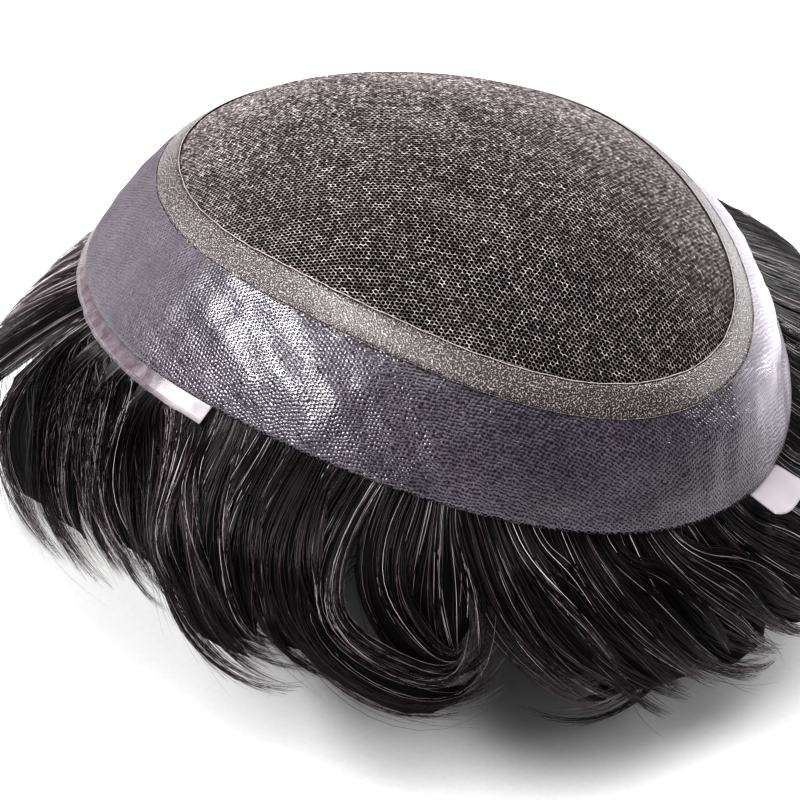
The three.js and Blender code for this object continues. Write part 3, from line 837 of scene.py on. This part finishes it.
def lock_cores(lock, rng):
    """The dense middle of each lock: a lens 0.72 as wide and 0.6 as thick as the lock, with lengthwise
    grooves, carried along its line and drawn to a point at both ends. Its tone of nought makes it near
    black, the hair's own dark colour deepened as painted shade inside the lock."""
    shares, line, across, normal = lock_lines(lock, CORE_RINGS, CORE_REACH)
    angle = (2 * np.pi * np.arange(CORE_SIDES) / CORE_SIDES)[None, None, :]
    groove = 1 + 0.07 * np.cos(5 * angle + rng.uniform(0, 6, (len(line), 1, 1)))
    groove = groove + 0.05 * np.cos(8 * angle + rng.uniform(0, 6, (len(line), 1, 1)))
    table = {k: v[:, None] for k, v in lock.items()}
    ends = np.minimum(smooth(shares * 3.5), smooth((CORE_REACH - shares) * 5))[None] + 0.01
    wide = (0.72 * half_width(table, shares[None]) * ends)[:, :, None] * groove
    thick = (0.6 * half_thickness(table, shares[None]) * ends)[:, :, None] * groove
    points = (
        line[:, :, None]
        + across[:, :, None] * (wide * np.cos(angle))[..., None]
        + normal[:, :, None] * (thick * np.sin(angle))[..., None]
    )
    points = under_edge(points, 3.2)
    rings_of = (len(line), CORE_RINGS, CORE_SIDES)
    faces = [tube_walls(*rings_of), *tube_ends(*rings_of)]
    comb = np.stack(np.broadcast_arrays(wide * angle, LOCK_LENGTH * shares[None, :, None]), -1)
    # A tone of nought, the ramp's near black: painted shade inside the lock
    return points.reshape(-1, 3), faces, {"tone": np.zeros(points.size // 3)}, comb.reshape(-1, 2)


def lock_strands(lock, count, rng, sizes):
    """Strands of the locks. Each starts at its own place along the edge, spreads over the outside of its
    lock, follows the lock's line, and gathers towards its wisp's point. A few fly away."""
    many = len(lock["at"])
    shares, line, across, normal = lock_lines(lock, LINE_STEPS, STRAND_REACH)
    weight = lock["width"] * (0.4 + lock["length"])
    per_lock = np.maximum((count * weight / weight.sum()).astype(int), 8)
    which = np.repeat(np.arange(many), per_lock)
    total = len(which)

    # The wisps of each lock: where they lie across it, how long they are, and their wave
    grid = (many, WISPS)
    wisp_x = (np.arange(WISPS) + 0.5) / WISPS * 2 - 1 + rng.uniform(-0.1, 0.1, grid)
    wisp_y = rng.uniform(-0.15, 0.2, grid)
    wisp_length = rng.uniform(0.8, 1.04, grid)
    wisp_sway = rng.uniform(0.5, 1.6, grid) * rng.choice([-1, 1], grid)
    wisp_turns = rng.uniform(0.5, 1.2, grid)
    wisp_phase = rng.uniform(0, 2 * np.pi, grid)
    wisp_grey = rng.beta(1.6, 9.0, grid)
    wisp_tone = rng.uniform(-0.08, 0.12, grid)

    root_x = rng.uniform(-1, 1, total)
    wisp = np.floor((root_x + 1) / 2 * WISPS + rng.normal(0, 0.35, total)).astype(int)
    wisp = np.clip(wisp, 0, WISPS - 1)
    fly = rng.uniform(0, 1, total) < FLY_SHARE
    length = wisp_length[which, wisp] * (1 - 0.35 * rng.beta(1.0, 3.5, total)) * np.where(fly, 1.03, 1.0)
    pick = which[:, None]
    t = np.linspace(0, 1, STRAND_STEPS)[None]
    share = t * length[:, None]
    at = share / STRAND_REACH * (len(shares) - 1)
    low = np.minimum(at.astype(int), len(shares) - 2)
    part = (at - low)[..., None]

    def along_lock(values):
        """Values of each strand's lock at the strand's own shares."""
        return values[pick, low] * (1 - part) + values[pick, low + 1] * part

    # Roots: spread along the edge as far as the neighbouring locks, under the skin
    room = np.gradient(lock["at"])
    root_turn = np.radians(lock["at"][which] + 0.62 * room[which] * root_x)
    root_drop = -ROOT_TUCK * rng.uniform(0.1, 1.0, total)
    root = skirt(root_turn, root_drop, hair_top(root_turn) - rng.uniform(0.1, 0.9, total))
    root_shift = root - line[which, 0]

    # Place across the lock: its own near the root, its wisp's at the tip. Height: on the lens's outside.
    table = {k: v[which][:, None] for k, v in lock.items()}
    gather = GATHER * smooth((t - 0.2) / 0.8)
    own = rng.uniform(-0.12, 0.12, total)[:, None]
    x = (1 - gather) * ROOT_SPREAD * root_x[:, None] + gather * (wisp_x[which, wisp][:, None] + own)
    under = rng.uniform(0, 1, total) < UNDER_SHARE
    height = np.where(under, -0.5, 1.0) * rng.uniform(0.72, 1.04, total)
    ridge = 0.16 * np.cos(np.pi * WISPS * (root_x[:, None] + 1)) * smooth(t * 3)
    y = (height[:, None] - ridge) * np.sqrt(np.maximum(1 - x * x, 0.03))
    y = y + gather * wisp_y[which, wisp][:, None]
    wide = half_width(table, np.minimum(share, 1.0), 0.45)
    thick = half_thickness(table, np.minimum(share, 1.0))
    turns, phase = wisp_turns[which, wisp][:, None], wisp_phase[which, wisp][:, None]
    sway = wisp_sway[which, wisp][:, None] * smooth(share / 0.6)
    sway = sway * (np.sin(2 * np.pi * turns * share + phase) - np.sin(phase))
    loose = rng.normal(0, 1, (2, total, 1)) * 0.3 * smooth(share / 0.4)
    loose_turns = rng.uniform(0.8, 2.0, (2, total, 1))
    loose = loose * np.sin(2 * np.pi * loose_turns * share + 6 * rng.random((2, total, 1)))
    flight = np.where(fly, np.minimum(rng.gamma(2.0, 2.2, total), FLY_LIMIT), 0)[:, None] * t**2
    flight_angle = rng.uniform(0, 2 * np.pi, total)[:, None] + rng.uniform(1.5, 6.0, total)[:, None] * t
    side_shift = x * wide + sway + loose[0] + flight * np.cos(flight_angle)
    out_shift = y * thick + 0.3 * sway + loose[1] + flight * np.abs(np.sin(flight_angle))
    sideways, outwards = unit(along_lock(across)), unit(along_lock(normal))
    # A strand leaves its root's own place for its lock's line by the lock's bend
    freed = smooth(share / np.minimum(1.2 * table["bend"], 0.48))[..., None]
    paths = along_lock(line) + (1 - freed) * root_shift[:, None]
    paths = paths + freed * sideways * side_shift[..., None]
    paths = paths + smooth(share / 0.18)[..., None] * outwards * out_shift[..., None]
    paths = under_edge(paths, rng.uniform(0.0, 2.6, total)[:, None])
    # Five passes smooth out the kinks at the edge
    for _ in range(5):
        paths[:, 1:-1] = (paths[:, :-2] + 2 * paths[:, 1:-1] + paths[:, 2:]) / 4

    width = sizes.strand_width / MM * rng.uniform(0.75, 1.25, total)[:, None]
    # The wisps' own shares of grey average about a seventh
    grey = rng.uniform(0, 1, total) < wisp_grey[which, wisp] * sizes.grey_share * 7
    width = width * (1 - 0.85 * t**4) * np.where(fly, FLY_WIDTH, np.where(grey, GREY_WIDTH, 1.0))[:, None]
    points, faces = ribs(paths, width, outwards)
    # Tones spread round a near black middle. The brown strands are partly the hair's own colour and partly
    # painted streaks of shine; grey strands are grey hairs, and tips grow browner
    base = 0.3 + wisp_tone[which, wisp] + rng.normal(0, 0.16, total)
    tone = np.where(grey, rng.uniform(0.78, 0.98, total), np.clip(base, 0.06, 0.72))[:, None]
    tone = tone + np.where(grey[:, None], 0, 0.15 * t**3)
    return points, faces, {"tone": np.repeat(tone.ravel(), 3)}


def edge_hairs(rng, sizes):
    """Short hairs over the lower edge of the mat, which hide where it ends: each runs down the ellipsoid
    from inside the skirt to a little below it, leaning one way with its neighbours."""
    column = (EDGE_HAIRS, 1)
    turn = np.sort(rng.uniform(0, 2 * np.pi, EDGE_HAIRS))
    t = np.linspace(0, 1, EDGE_STEPS)[None]
    start = rng.uniform(1.0, 9.0, column)
    hem = (SKIRT_DROP + SKIRT_WAVE * np.sin(turn * SKIRT_WAVES))[:, None]
    end = hem + rng.uniform(-2.0, 12.0, column)
    drop = start + (end - start) * t
    lean = 0.16 * np.sin(turn * 7 + 1.0)[:, None] + rng.normal(0, 0.03, column)
    lift = -MAT_UNDER_FILM + rng.uniform(-0.6, 0.7, column) - 1.2 * t
    paths = skirt(turn[:, None] + lean * t**1.5, drop, lift)
    radius = sizes.strand_width / MM / 2 * (1 - 0.8 * t**3) * np.ones(column)
    points, faces = tubes(paths, radius, unit(paths * (1, 1, 0)), EDGE_SIDES)
    tone = np.clip(rng.normal(0.26, 0.1, EDGE_HAIRS), 0.02, 0.6)
    tone = np.where(rng.uniform(0, 1, EDGE_HAIRS) < 0.05, 0.9, tone)
    return points, faces, {"tone": np.repeat(tone, EDGE_STEPS * EDGE_SIDES)}


# Operators


class HairpieceSizes(bpy.types.PropertyGroup):
    """Sizes and colours of the hairpiece."""

    net_spacing: FloatProperty(
        name="Net spacing", description="Distance between holes along a row", default=0.00087, unit="LENGTH"
    )
    net_row: FloatProperty(
        name="Net row", description="Distance between the net's rows", default=0.001, unit="LENGTH"
    )
    net_turn: FloatProperty(
        name="Net turn", description="Turn of the net on the base", default=math.radians(7), unit="ROTATION"
    )
    thread_width: FloatProperty(
        name="Thread width", description="Width of the net's threads", default=0.00022, unit="LENGTH"
    )
    strand_width: FloatProperty(
        name="Strand width",
        description="Width of a drawn strand, which stands for a few hairs",
        default=0.0002,
        unit="LENGTH",
    )
    grey_share: FloatProperty(
        name="Grey share", description="Share of grey strands", default=0.1, subtype="FACTOR", min=0, max=1
    )
    strands: IntProperty(name="Strands", description="Strands of each hair piece", default=2150, min=100)
    hair_colour: FloatVectorProperty(
        name="Hair colour",
        description="Middle tone of the hair",
        subtype="COLOR",
        size=4,
        default=linear("#30252b"),
    )
    thread_colour: FloatVectorProperty(
        name="Thread colour",
        description="Middle tone of the net",
        subtype="COLOR",
        size=4,
        default=linear("#5a5153"),
    )
    border_colour: FloatVectorProperty(
        name="Border colour",
        description="Ground of the border",
        subtype="COLOR",
        size=4,
        default=linear("#2c2427"),
    )
    skin_colour: FloatVectorProperty(
        name="Skin colour",
        description="Middle tone of the skin",
        subtype="COLOR",
        size=4,
        default=linear("#231d26"),
    )
    film_colour: FloatVectorProperty(
        name="Film colour",
        description="Light tone of the film",
        subtype="COLOR",
        size=4,
        default=linear("#948890"),
    )


class HAIRPIECE_OT_net_crown(bpy.types.Operator):
    """Makes the crown's open hexagonal net from raised threads"""

    bl_idname = "hairpiece.net_crown"
    bl_label = "Net crown"

    def execute(self, context):
        sizes = context.scene.hairpiece
        rng = np.random.default_rng(11)
        spacing, row = sizes.net_spacing / MM, sizes.net_row / MM
        half = sizes.thread_width / MM / 2
        # A patch of rows that reaches past the crown, with two knots to each hole
        patch = 95.0
        n = int(patch / spacing)
        i, j = np.meshgrid(np.arange(-n, n), np.arange(-n, n), indexing="ij")
        x, y = i * spacing + j * spacing / 2, j * row
        knots = np.stack([np.stack([x, y - row / 3], -1), np.stack([x, y + row / 3], -1)])
        turned = sizes.net_turn
        knots = knots @ np.array(
            [[math.cos(turned), math.sin(turned)], [-math.sin(turned), math.cos(turned)]]
        )
        # The cloth is a little uneven
        knots = knots + np.stack(
            [0.55 * ripples(knots[..., 0], knots[..., 1], seed, 4, 60, 16) for seed in (3, 4)], -1
        )
        knots = knots + rng.normal(0, 0.028, knots.shape)
        arc = np.hypot(knots[..., 0], knots[..., 1])
        turn = np.arctan2(knots[..., 1], knots[..., 0])
        limit = arc_length(turn, seam_tilt(turn)) - 0.2
        kept = arc < limit

        # Each knot has its raised middle and three low corners between its threads
        reach = half / math.cos(math.radians(30))
        corner = np.radians([[150, 30, 270], [210, 330, 90]])
        offset = reach * np.stack([np.cos(corner + turned), np.sin(corner + turned)], -1)
        uneven = rng.uniform(0.8, 1.25, kept.shape)[..., None, None]
        corners = knots[:, :, :, None] + offset[:, None, None] * uneven
        flat = np.concatenate([knots[:, :, :, None], corners], axis=3)
        lift = np.zeros(flat.shape[:-1])
        lift[..., 1:] = -0.15
        lift[..., 0] += rng.uniform(-0.06, 0.06, kept.shape)
        arc = np.hypot(flat[..., 0], flat[..., 1])
        turn = np.arctan2(flat[..., 1], flat[..., 0])
        points = dome(turn, tilt_along(turn, 0.0, arc), lift).reshape(-1, 3)
        number = np.arange(len(points)).reshape(flat.shape[:-1])

        # Threads from each lower knot: up, down left and down right. Two slopes to a thread.
        faces = []
        lower, upper = number[0], number[1]
        for di, dj, sides in (
            (0, 0, ((1, 1), (2, 2))),
            (0, -1, ((3, 2), (1, 3))),
            (1, -1, ((2, 3), (3, 1))),
        ):
            far = np.roll(upper, (-di, -dj), axis=(0, 1))
            both = kept[0] & np.roll(kept[1], (-di, -dj), axis=(0, 1))
            a, b = lower[both], far[both]
            (left_a, left_b), (right_a, right_b) = sides
            faces.append(np.stack([a[:, 0], b[:, 0], b[:, left_b], a[:, left_a]], -1))
            faces.append(np.stack([b[:, 0], a[:, 0], a[:, right_a], b[:, right_b]], -1))
        used = np.unique(np.concatenate([f.ravel() for f in faces]))
        place = np.zeros(len(points), int)
        place[used] = np.arange(len(used))
        faces = [place[f] for f in faces]

        tone = rng.normal(0.48, 0.11, kept.shape)
        tone = tone + 0.1 * ripples(knots[..., 0], knots[..., 1], 5, 6, 40, 3)
        tone = tone[..., None] + rng.normal(0, 0.22, (*kept.shape, 4))
        # About one knot in fifty is painted near white: a painted glint where a thread would catch the
        # light
        tone[..., 0] = np.where(rng.uniform(0, 1, kept.shape) < 0.02, 1.0, tone[..., 0])
        tone = tone.reshape(-1)[used]
        new_piece(
            "net_crown",
            "lace_crown",
            lace_material(sizes),
            points[used],
            faces,
            {"tone": np.clip(tone, 0, 1)},
        )
        return {"FINISHED"}


class HAIRPIECE_OT_border_strip(bpy.types.Operator):
    """Makes the doubled net border over the seam, with a pale thread along its inner edge"""

    bl_idname = "hairpiece.border_strip"
    bl_label = "Border strip"

    def execute(self, context):
        sizes = context.scene.hairpiece
        turn = np.linspace(0, 2 * np.pi, ROUND_STEPS, endpoint=False)[None]
        seam = seam_tilt(turn)
        length = SEAM_RADIUS * turn
        inner = -BORDER_LAP + 0.25 * ripples(length, 0, 21, 5, 60, 7)
        outer = BORDER_WIDTH + 0.3 * ripples(length, 0, 22, 5, 50, 6)
        share = np.linspace(0, 1, 12)[:, None]
        down = inner + (outer - inner) * share
        lift = 0.3 + 0.22 * np.sqrt(np.maximum(1 - (2 * share - 1) ** 4, 0))
        lift = lift + 0.08 * ripples(length, down, 23, 5, 18, 4)
        tilt = tilt_along(turn, seam, down)
        top = dome(turn, tilt, lift)
        under = dome(turn, tilt[::-1][::4], 0.12)
        rows = len(top) + len(under)
        points = np.concatenate([top, under]).reshape(-1, 3)
        plan_turn = np.broadcast_to(turn, tilt.shape)
        flat = cloth_plan(plan_turn, arc_length(turn, tilt))
        plan = np.concatenate([flat, flat[::-1][::4]]).reshape(-1, 2)
        strip = (points, [grid_faces(rows, ROUND_STEPS, True, True)], {"tone": np.zeros(len(points))})
        edges = []
        for distance, size, pale in ((inner, 0.13, 0.9), (outer, 0.1, 0.15)):
            path = dome(turn, tilt_along(turn, seam, distance), 0.42)
            radius = size + 0.04 * ripples(length, 0, 24, 3, 6, 2)
            edge_points, edge_faces = rings(path, radius, unit(path * (1, 1, 0.6)), 5)
            edges.append((edge_points, edge_faces, {"tone": np.full(len(edge_points), pale)}))
        edge_plan = [
            np.repeat(cloth_plan(turn, arc_length(turn, tilt_along(turn, seam, d)))[0], 5, axis=0)
            for d in (inner, outer)
        ]
        points, faces, values = gathered([strip, *edges])
        new_piece(
            "border_strip",
            "lace_border",
            border_material(sizes),
            points,
            faces,
            values,
            np.concatenate([plan, *edge_plan]),
        )
        return {"FINISHED"}


class HAIRPIECE_OT_skin_band(bpy.types.Operator):
    """Casts the polyurethane band between the seam and the edge, with its long fold"""

    bl_idname = "hairpiece.skin_band"
    bl_label = "Skin band"

    def execute(self, context):
        sizes = context.scene.hairpiece
        turn = np.linspace(0, 2 * np.pi, ROUND_STEPS, endpoint=False)[None]
        width = skin_width(turn)
        share = np.linspace(1, 0, 34)[:, None]
        up = width * share
        fold = fold_share(turn, up)
        tilt = tilt_along(turn, rim_tilt(turn), -up)
        arc = arc_length(turn, tilt)
        sag = 0.7 * ripples(arc * np.cos(turn), arc * np.sin(turn), 31, 8, 50, 9)
        fade = smooth(share * 8) * smooth((1 - share) * 8)
        creased = fold * 0.4 * ripples(SEAM_RADIUS * turn, up, 32, 6, 14, 3)
        lift = FOLD_HEIGHT * fold + creased + sag * fade + flare(turn, up)
        lift = lift - 0.12 * (1 - smooth(share * 25))
        outside = dome(turn, tilt, lift)
        inside = dome(turn, tilt[::-1][::3], lift[::-1][::3] - 0.45)
        points = np.concatenate([outside, inside]).reshape(-1, 3)
        flat = cloth_plan(np.broadcast_to(turn, tilt.shape), arc)
        plan = np.concatenate([flat, flat[::-1][::3]]).reshape(-1, 2)
        # How milky the film is over its fold and round it: partly the film's own whitening, partly a
        # painted highlight along the fold
        pale = 0.45 * fold_share(turn, width / 2) + 0.55 * fold
        pale = np.concatenate([pale, pale[::-1][::3]]).reshape(-1)
        # The front is dull, and grows glossy towards the left side and past the right. Where it is dull,
        # the same share lays a painted pale sheen between the skin's dots
        degrees = signed_degrees(turn)
        dull = smooth((-6 - degrees) / 56) * smooth((degrees + 170) / 30)
        rows = len(outside) + len(inside)
        new_piece(
            "skin_band_film",
            "skin_band",
            skin_material(sizes),
            points,
            [grid_faces(rows, ROUND_STEPS, True, True)],
            {"fold": pale, "dull": np.broadcast_to(dull, (rows, ROUND_STEPS)).ravel()},
            plan,
        )
        return {"FINISHED"}


class HAIRPIECE_OT_clear_films(bpy.types.Operator):
    """Makes the clear strip along the front edge and the clear tab at the back"""

    bl_idname = "hairpiece.clear_films"
    bl_label = "Clear films"

    def execute(self, context):
        sizes = context.scene.hairpiece
        material = film_material(sizes)
        # The strip: from under the skin to its reach below the edge, with small creases across it
        turn = np.radians(np.linspace(-180 - STRIP_END, STRIP_END - 3.5, STRIP_STEPS))[None]
        length = EDGE_RADIUS * turn
        reach = STRIP_REACH * (1 + 0.07 * ripples(length, 0, 41, 6, 45, 4))
        share = np.linspace(0, 1, STRIP_ROWS)[:, None]
        drop = -FILM_TUCK + (FILM_TUCK + reach) * share
        crease = 0.16 * ripples(length, 0.35 * drop, 42, 6, 24, 4) * smooth(share * 2 - 0.7)
        crease = crease + flare(turn, np.maximum(-drop, 0)) + STRIP_LEAN * np.maximum(drop, 0)
        hang = np.where(
            (drop < 0)[..., None],
            dome(turn, tilt_along(turn, rim_tilt(turn), np.minimum(drop, 0)), FILM_TOP - 0.1 + crease),
            skirt(turn, np.maximum(drop, 0), FILM_TOP - 0.1 + crease),
        )
        inner = hang - 0.18 * unit(hang * (1, 1, 0.3))
        points = np.concatenate([hang, inner[::-1]]).reshape(-1, 3)
        # Its cut end is milky
        pale = 0.6 * smooth((np.degrees(turn) + 19) / 9)
        pale = np.broadcast_to(pale, (2 * STRIP_ROWS, STRIP_STEPS)).ravel()
        new_piece(
            "clear_strip",
            "front_clear_strip",
            material,
            points,
            sheet_faces(STRIP_ROWS, STRIP_STEPS),
            {"milky": pale},
        )

        # The tab: out from under the skin, then at its slope below level, with rounded corners
        half = math.degrees(TAB_WIDTH / 2 / float(plan_radius(np.radians(TAB_ANGLE))))
        across = np.linspace(-1, 1, TAB_STEPS)[None]
        turn = np.radians(TAB_ANGLE + half * across)
        slope = math.radians(TAB_SLOPE)
        share = np.linspace(0, 1, 12)[:, None]
        tucked = dome(turn, tilt_along(turn, rim_tilt(turn), -FILM_TUCK * (1 - share)), FILM_TOP - 0.1)
        out = np.stack([np.cos(turn), np.sin(turn), np.full_like(turn, -math.tan(slope))], -1)
        distance = TAB_REACH * math.cos(slope) * (1 - 0.2 * across**4)
        wave = 0.1 * ripples(9 * across, 12 * share, 43, 3, 16, 9) * smooth(share * 3)
        sheet = tucked[-1][None] + out * (distance * share[1:])[..., None]
        sheet[..., 2] += wave[1:]
        top = np.concatenate([tucked, sheet])
        under = top[::-1] - np.array([0, 0, 0.3])
        points = np.concatenate([top, under]).reshape(-1, 3)
        new_piece(
            "clear_tab",
            "rear_clear_tab",
            material,
            points,
            sheet_faces(len(top), TAB_STEPS),
            {"milky": np.full(len(points), 0.9)},
        )
        return {"FINISHED"}


class HAIRPIECE_OT_hair_mat(bpy.types.Operator):
    """Makes the flat mat of hair inside the base, and the short hairs over its lower edge"""

    bl_idname = "hairpiece.hair_mat"
    bl_label = "Hair mat"

    def execute(self, context):
        sizes = context.scene.hairpiece
        rng = np.random.default_rng(51)
        turn = np.linspace(0, 2 * np.pi, MAT_STEPS, endpoint=False)[None]
        seam = seam_tilt(turn)
        rim = rim_tilt(turn)
        drop = SKIRT_DROP + SKIRT_WAVE * np.sin(turn * SKIRT_WAVES) - 1.5
        combed = 0.3 * ripples(MAT_RADIUS * turn, 0, 52, 6, 12, 2.5)

        def rows(inset):
            """Rows of the mat, from near its top over the crown and the side down to its hem, moved in."""
            share = np.linspace(0.03, 1, 14)[:, None]
            over = dome(turn, seam * share, -MAT_UNDER_LACE - inset + combed * share)
            share = np.linspace(0, 1, 7)[1:, None]
            lift = -MAT_UNDER_LACE + (MAT_UNDER_LACE - MAT_UNDER_FILM) * smooth(share * 2) - inset
            side = dome(turn, seam + (rim - seam) * share, lift + combed)
            share = np.linspace(0, 1, 8)[1:, None]
            hem = -inset + combed - 0.5 - 2.0 * share * (inset == 0)
            low = skirt(turn, drop * share, -MAT_UNDER_FILM + hem)
            return np.concatenate([over, side, low])

        outer, inner = rows(0.0), rows(MAT_WALL - 0.6)
        wall = np.concatenate([outer, inner[::-1]])
        count = len(wall)
        points = wall.reshape(-1, 3)
        faces = [grid_faces(count, MAT_STEPS, False, True)]
        top = np.array([[0, 0, HEIGHT - MAT_UNDER_LACE - SEAT_HEIGHT]])
        bottom = np.array([[0, 0, HEIGHT - MAT_UNDER_LACE - MAT_WALL + 0.6 - SEAT_HEIGHT]])
        c = np.arange(MAT_STEPS)
        after = (c + 1) % MAT_STEPS
        last = (count - 1) * MAT_STEPS
        faces.append(np.stack([np.full(MAT_STEPS, len(points)), c, after], -1))
        faces.append(np.stack([np.full(MAT_STEPS, len(points) + 1), last + after, last + c], -1))
        points = np.concatenate([points, top, bottom])
        # The mat's tone stays below the locks', near black: partly the hair's own colour, partly painted
        # shade under the net and the skin
        streak = 0.1 + 0.1 * ripples(MAT_RADIUS * turn, 0, 53, 8, 6, 0.9)
        tone = np.concatenate([np.broadcast_to(streak, (count, MAT_STEPS)).ravel(), [0.15, 0.15]])
        body = (points, faces, {"tone": tone})
        material = hair_material("human hair, flat", sizes.hair_colour, 0.7, 0.04)
        points, faces, values = gathered([body, edge_hairs(rng, sizes)])
        new_piece("hair_mat", "hair_underlayer", material, points, faces, values)
        return {"FINISHED"}


class HAIRPIECE_OT_locks(bpy.types.Operator):
    """Makes the four fields of locks that fall from under the edge"""

    bl_idname = "hairpiece.locks"
    bl_label = "Locks"

    def execute(self, context):
        sizes = context.scene.hairpiece
        material = hair_material("human hair, off black", sizes.hair_colour, 0.3, 0.25)
        for seed, name in enumerate(LOCKS):
            rng = np.random.default_rng(100 + seed)
            lock = lock_table(name)
            count = sizes.strands
            *cores, comb = lock_cores(lock, rng)
            points, faces, values = gathered([cores, lock_strands(lock, count, rng, sizes)])
            plan = np.concatenate([comb, np.zeros((len(points) - len(comb), 2))])
            new_piece(name + "_locks", name, material, points, faces, values, plan)
        return {"FINISHED"}


class HAIRPIECE_OT_stage(bpy.types.Operator):
    """Sets out the paper floor, the soft lights and the camera"""

    bl_idname = "hairpiece.stage"
    bl_label = "Stage"

    def execute(self, context):
        scene = context.scene
        # The floor lies 2 mm under the lowest hair
        lowest = min(float(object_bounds()[0][2]), float(cad_box[0][2])) - 0.002
        mesh = bpy.data.meshes.new("paper_floor")
        size = 6.0
        mesh.from_pydata(
            [(-size, -size, lowest), (size, -size, lowest), (size, size, lowest), (-size, size, lowest)],
            [],
            [(0, 1, 2, 3)],
        )
        floor = bpy.data.objects.new("paper_floor", mesh)
        scene.collection.objects.link(floor)
        mesh.materials.append(paper_material())
        floor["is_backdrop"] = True

        world = bpy.data.worlds.new("studio")
        world.use_nodes = True
        world.node_tree.nodes["Background"].inputs["Color"].default_value = (1, 1, 1, 1)
        world.node_tree.nodes["Background"].inputs["Strength"].default_value = 0.26
        scene.world = world
        scene.view_settings.view_transform = "Standard"
        scene.view_settings.look = "High Contrast"

        # name, direction from the object, distance, width, height, watts
        for name, direction, distance, width, tall, watts in (
            ("softbox_front_left", (0.65, -0.42, 0.5), 0.8, 0.85, 0.15, 6.6),
            ("softbox_top", (-0.05, 0.0, 1.0), 1.4, 1.4, 1.4, 13.5),
            ("softbox_right", (-0.85, 0.25, 0.35), 1.0, 0.5, 0.5, 5.5),
        ):
            light = bpy.data.lights.new(name, "AREA")
            light.shape = "RECTANGLE"
            light.size, light.size_y, light.energy = width, tall, watts
            lamp = bpy.data.objects.new(name, light)
            scene.collection.objects.link(lamp)
            place = Vector(direction).normalized() * distance
            turned = place.to_track_quat("Z", "Y").to_matrix().to_4x4()
            lamp.matrix_world = Matrix.Translation(place) @ turned

        # The camera looks down at the back left of the piece, and is turned a little about its own axis
        azimuth, elevation, roll = math.radians(40.5), math.radians(36.0), math.radians(2.0)
        # How far away it stands and how far its aim lies to the right of and above the base's middle
        away, aim_right, aim_up = 0.60846, -0.01101, -0.00148
        back = Vector(
            (
                math.cos(elevation) * math.cos(azimuth),
                math.cos(elevation) * math.sin(azimuth),
                math.sin(elevation),
            )
        )
        right = Vector((-math.sin(azimuth), math.cos(azimuth), 0))
        up = back.cross(right)
        aim = aim_right * right + aim_up * up - Vector((0, 0, SEAT_HEIGHT * MM))
        across = right * math.cos(roll) + up * math.sin(roll)
        upward = up * math.cos(roll) - right * math.sin(roll)
        camera = bpy.data.cameras.new("camera")
        camera.sensor_width, camera.lens = 36.0, 113.67
        camera.clip_start = 0.05
        holder = bpy.data.objects.new("camera", camera)
        scene.collection.objects.link(holder)
        turned = Matrix((across, upward, back)).transposed().to_4x4()
        holder.matrix_world = Matrix.Translation(aim + back * away) @ turned
        scene.camera = holder
        return {"FINISHED"}


class HAIRPIECE_PT_panel(bpy.types.Panel):
    """Lists the hairpiece's sizes and pieces"""

    bl_label = "Hairpiece"
    bl_idname = "HAIRPIECE_PT_panel"
    bl_space_type = "VIEW_3D"
    bl_region_type = "UI"
    bl_category = "Hairpiece"

    def draw(self, context):
        """Shows every size and colour, and a button for each operator."""
        sizes = context.scene.hairpiece
        for name in sizes.bl_rna.properties.keys():
            if name not in ("rna_type", "name"):
                self.layout.prop(sizes, name)
        for operator in OPERATORS:
            self.layout.operator(operator.bl_idname)


OPERATORS = (
    HAIRPIECE_OT_net_crown,
    HAIRPIECE_OT_border_strip,
    HAIRPIECE_OT_skin_band,
    HAIRPIECE_OT_clear_films,
    HAIRPIECE_OT_hair_mat,
    HAIRPIECE_OT_locks,
    HAIRPIECE_OT_stage,
)
CLASSES = (HairpieceSizes, *OPERATORS, HAIRPIECE_PT_panel)


def register():
    """Registers the classes and the scene's sizes."""
    for cls in CLASSES:
        bpy.utils.register_class(cls)
    bpy.types.Scene.hairpiece = PointerProperty(type=HairpieceSizes)


def unregister():
    """Takes the sizes and the classes away again."""
    del bpy.types.Scene.hairpiece
    for cls in reversed(CLASSES):
        bpy.utils.unregister_class(cls)


def main():
    """Makes every piece in order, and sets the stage."""
    register()
    bpy.ops.hairpiece.net_crown()
    bpy.ops.hairpiece.border_strip()
    bpy.ops.hairpiece.skin_band()
    bpy.ops.hairpiece.clear_films()
    bpy.ops.hairpiece.hair_mat()
    bpy.ops.hairpiece.locks()
    bpy.ops.hairpiece.stage()


if __name__ == "__main__":
    main()
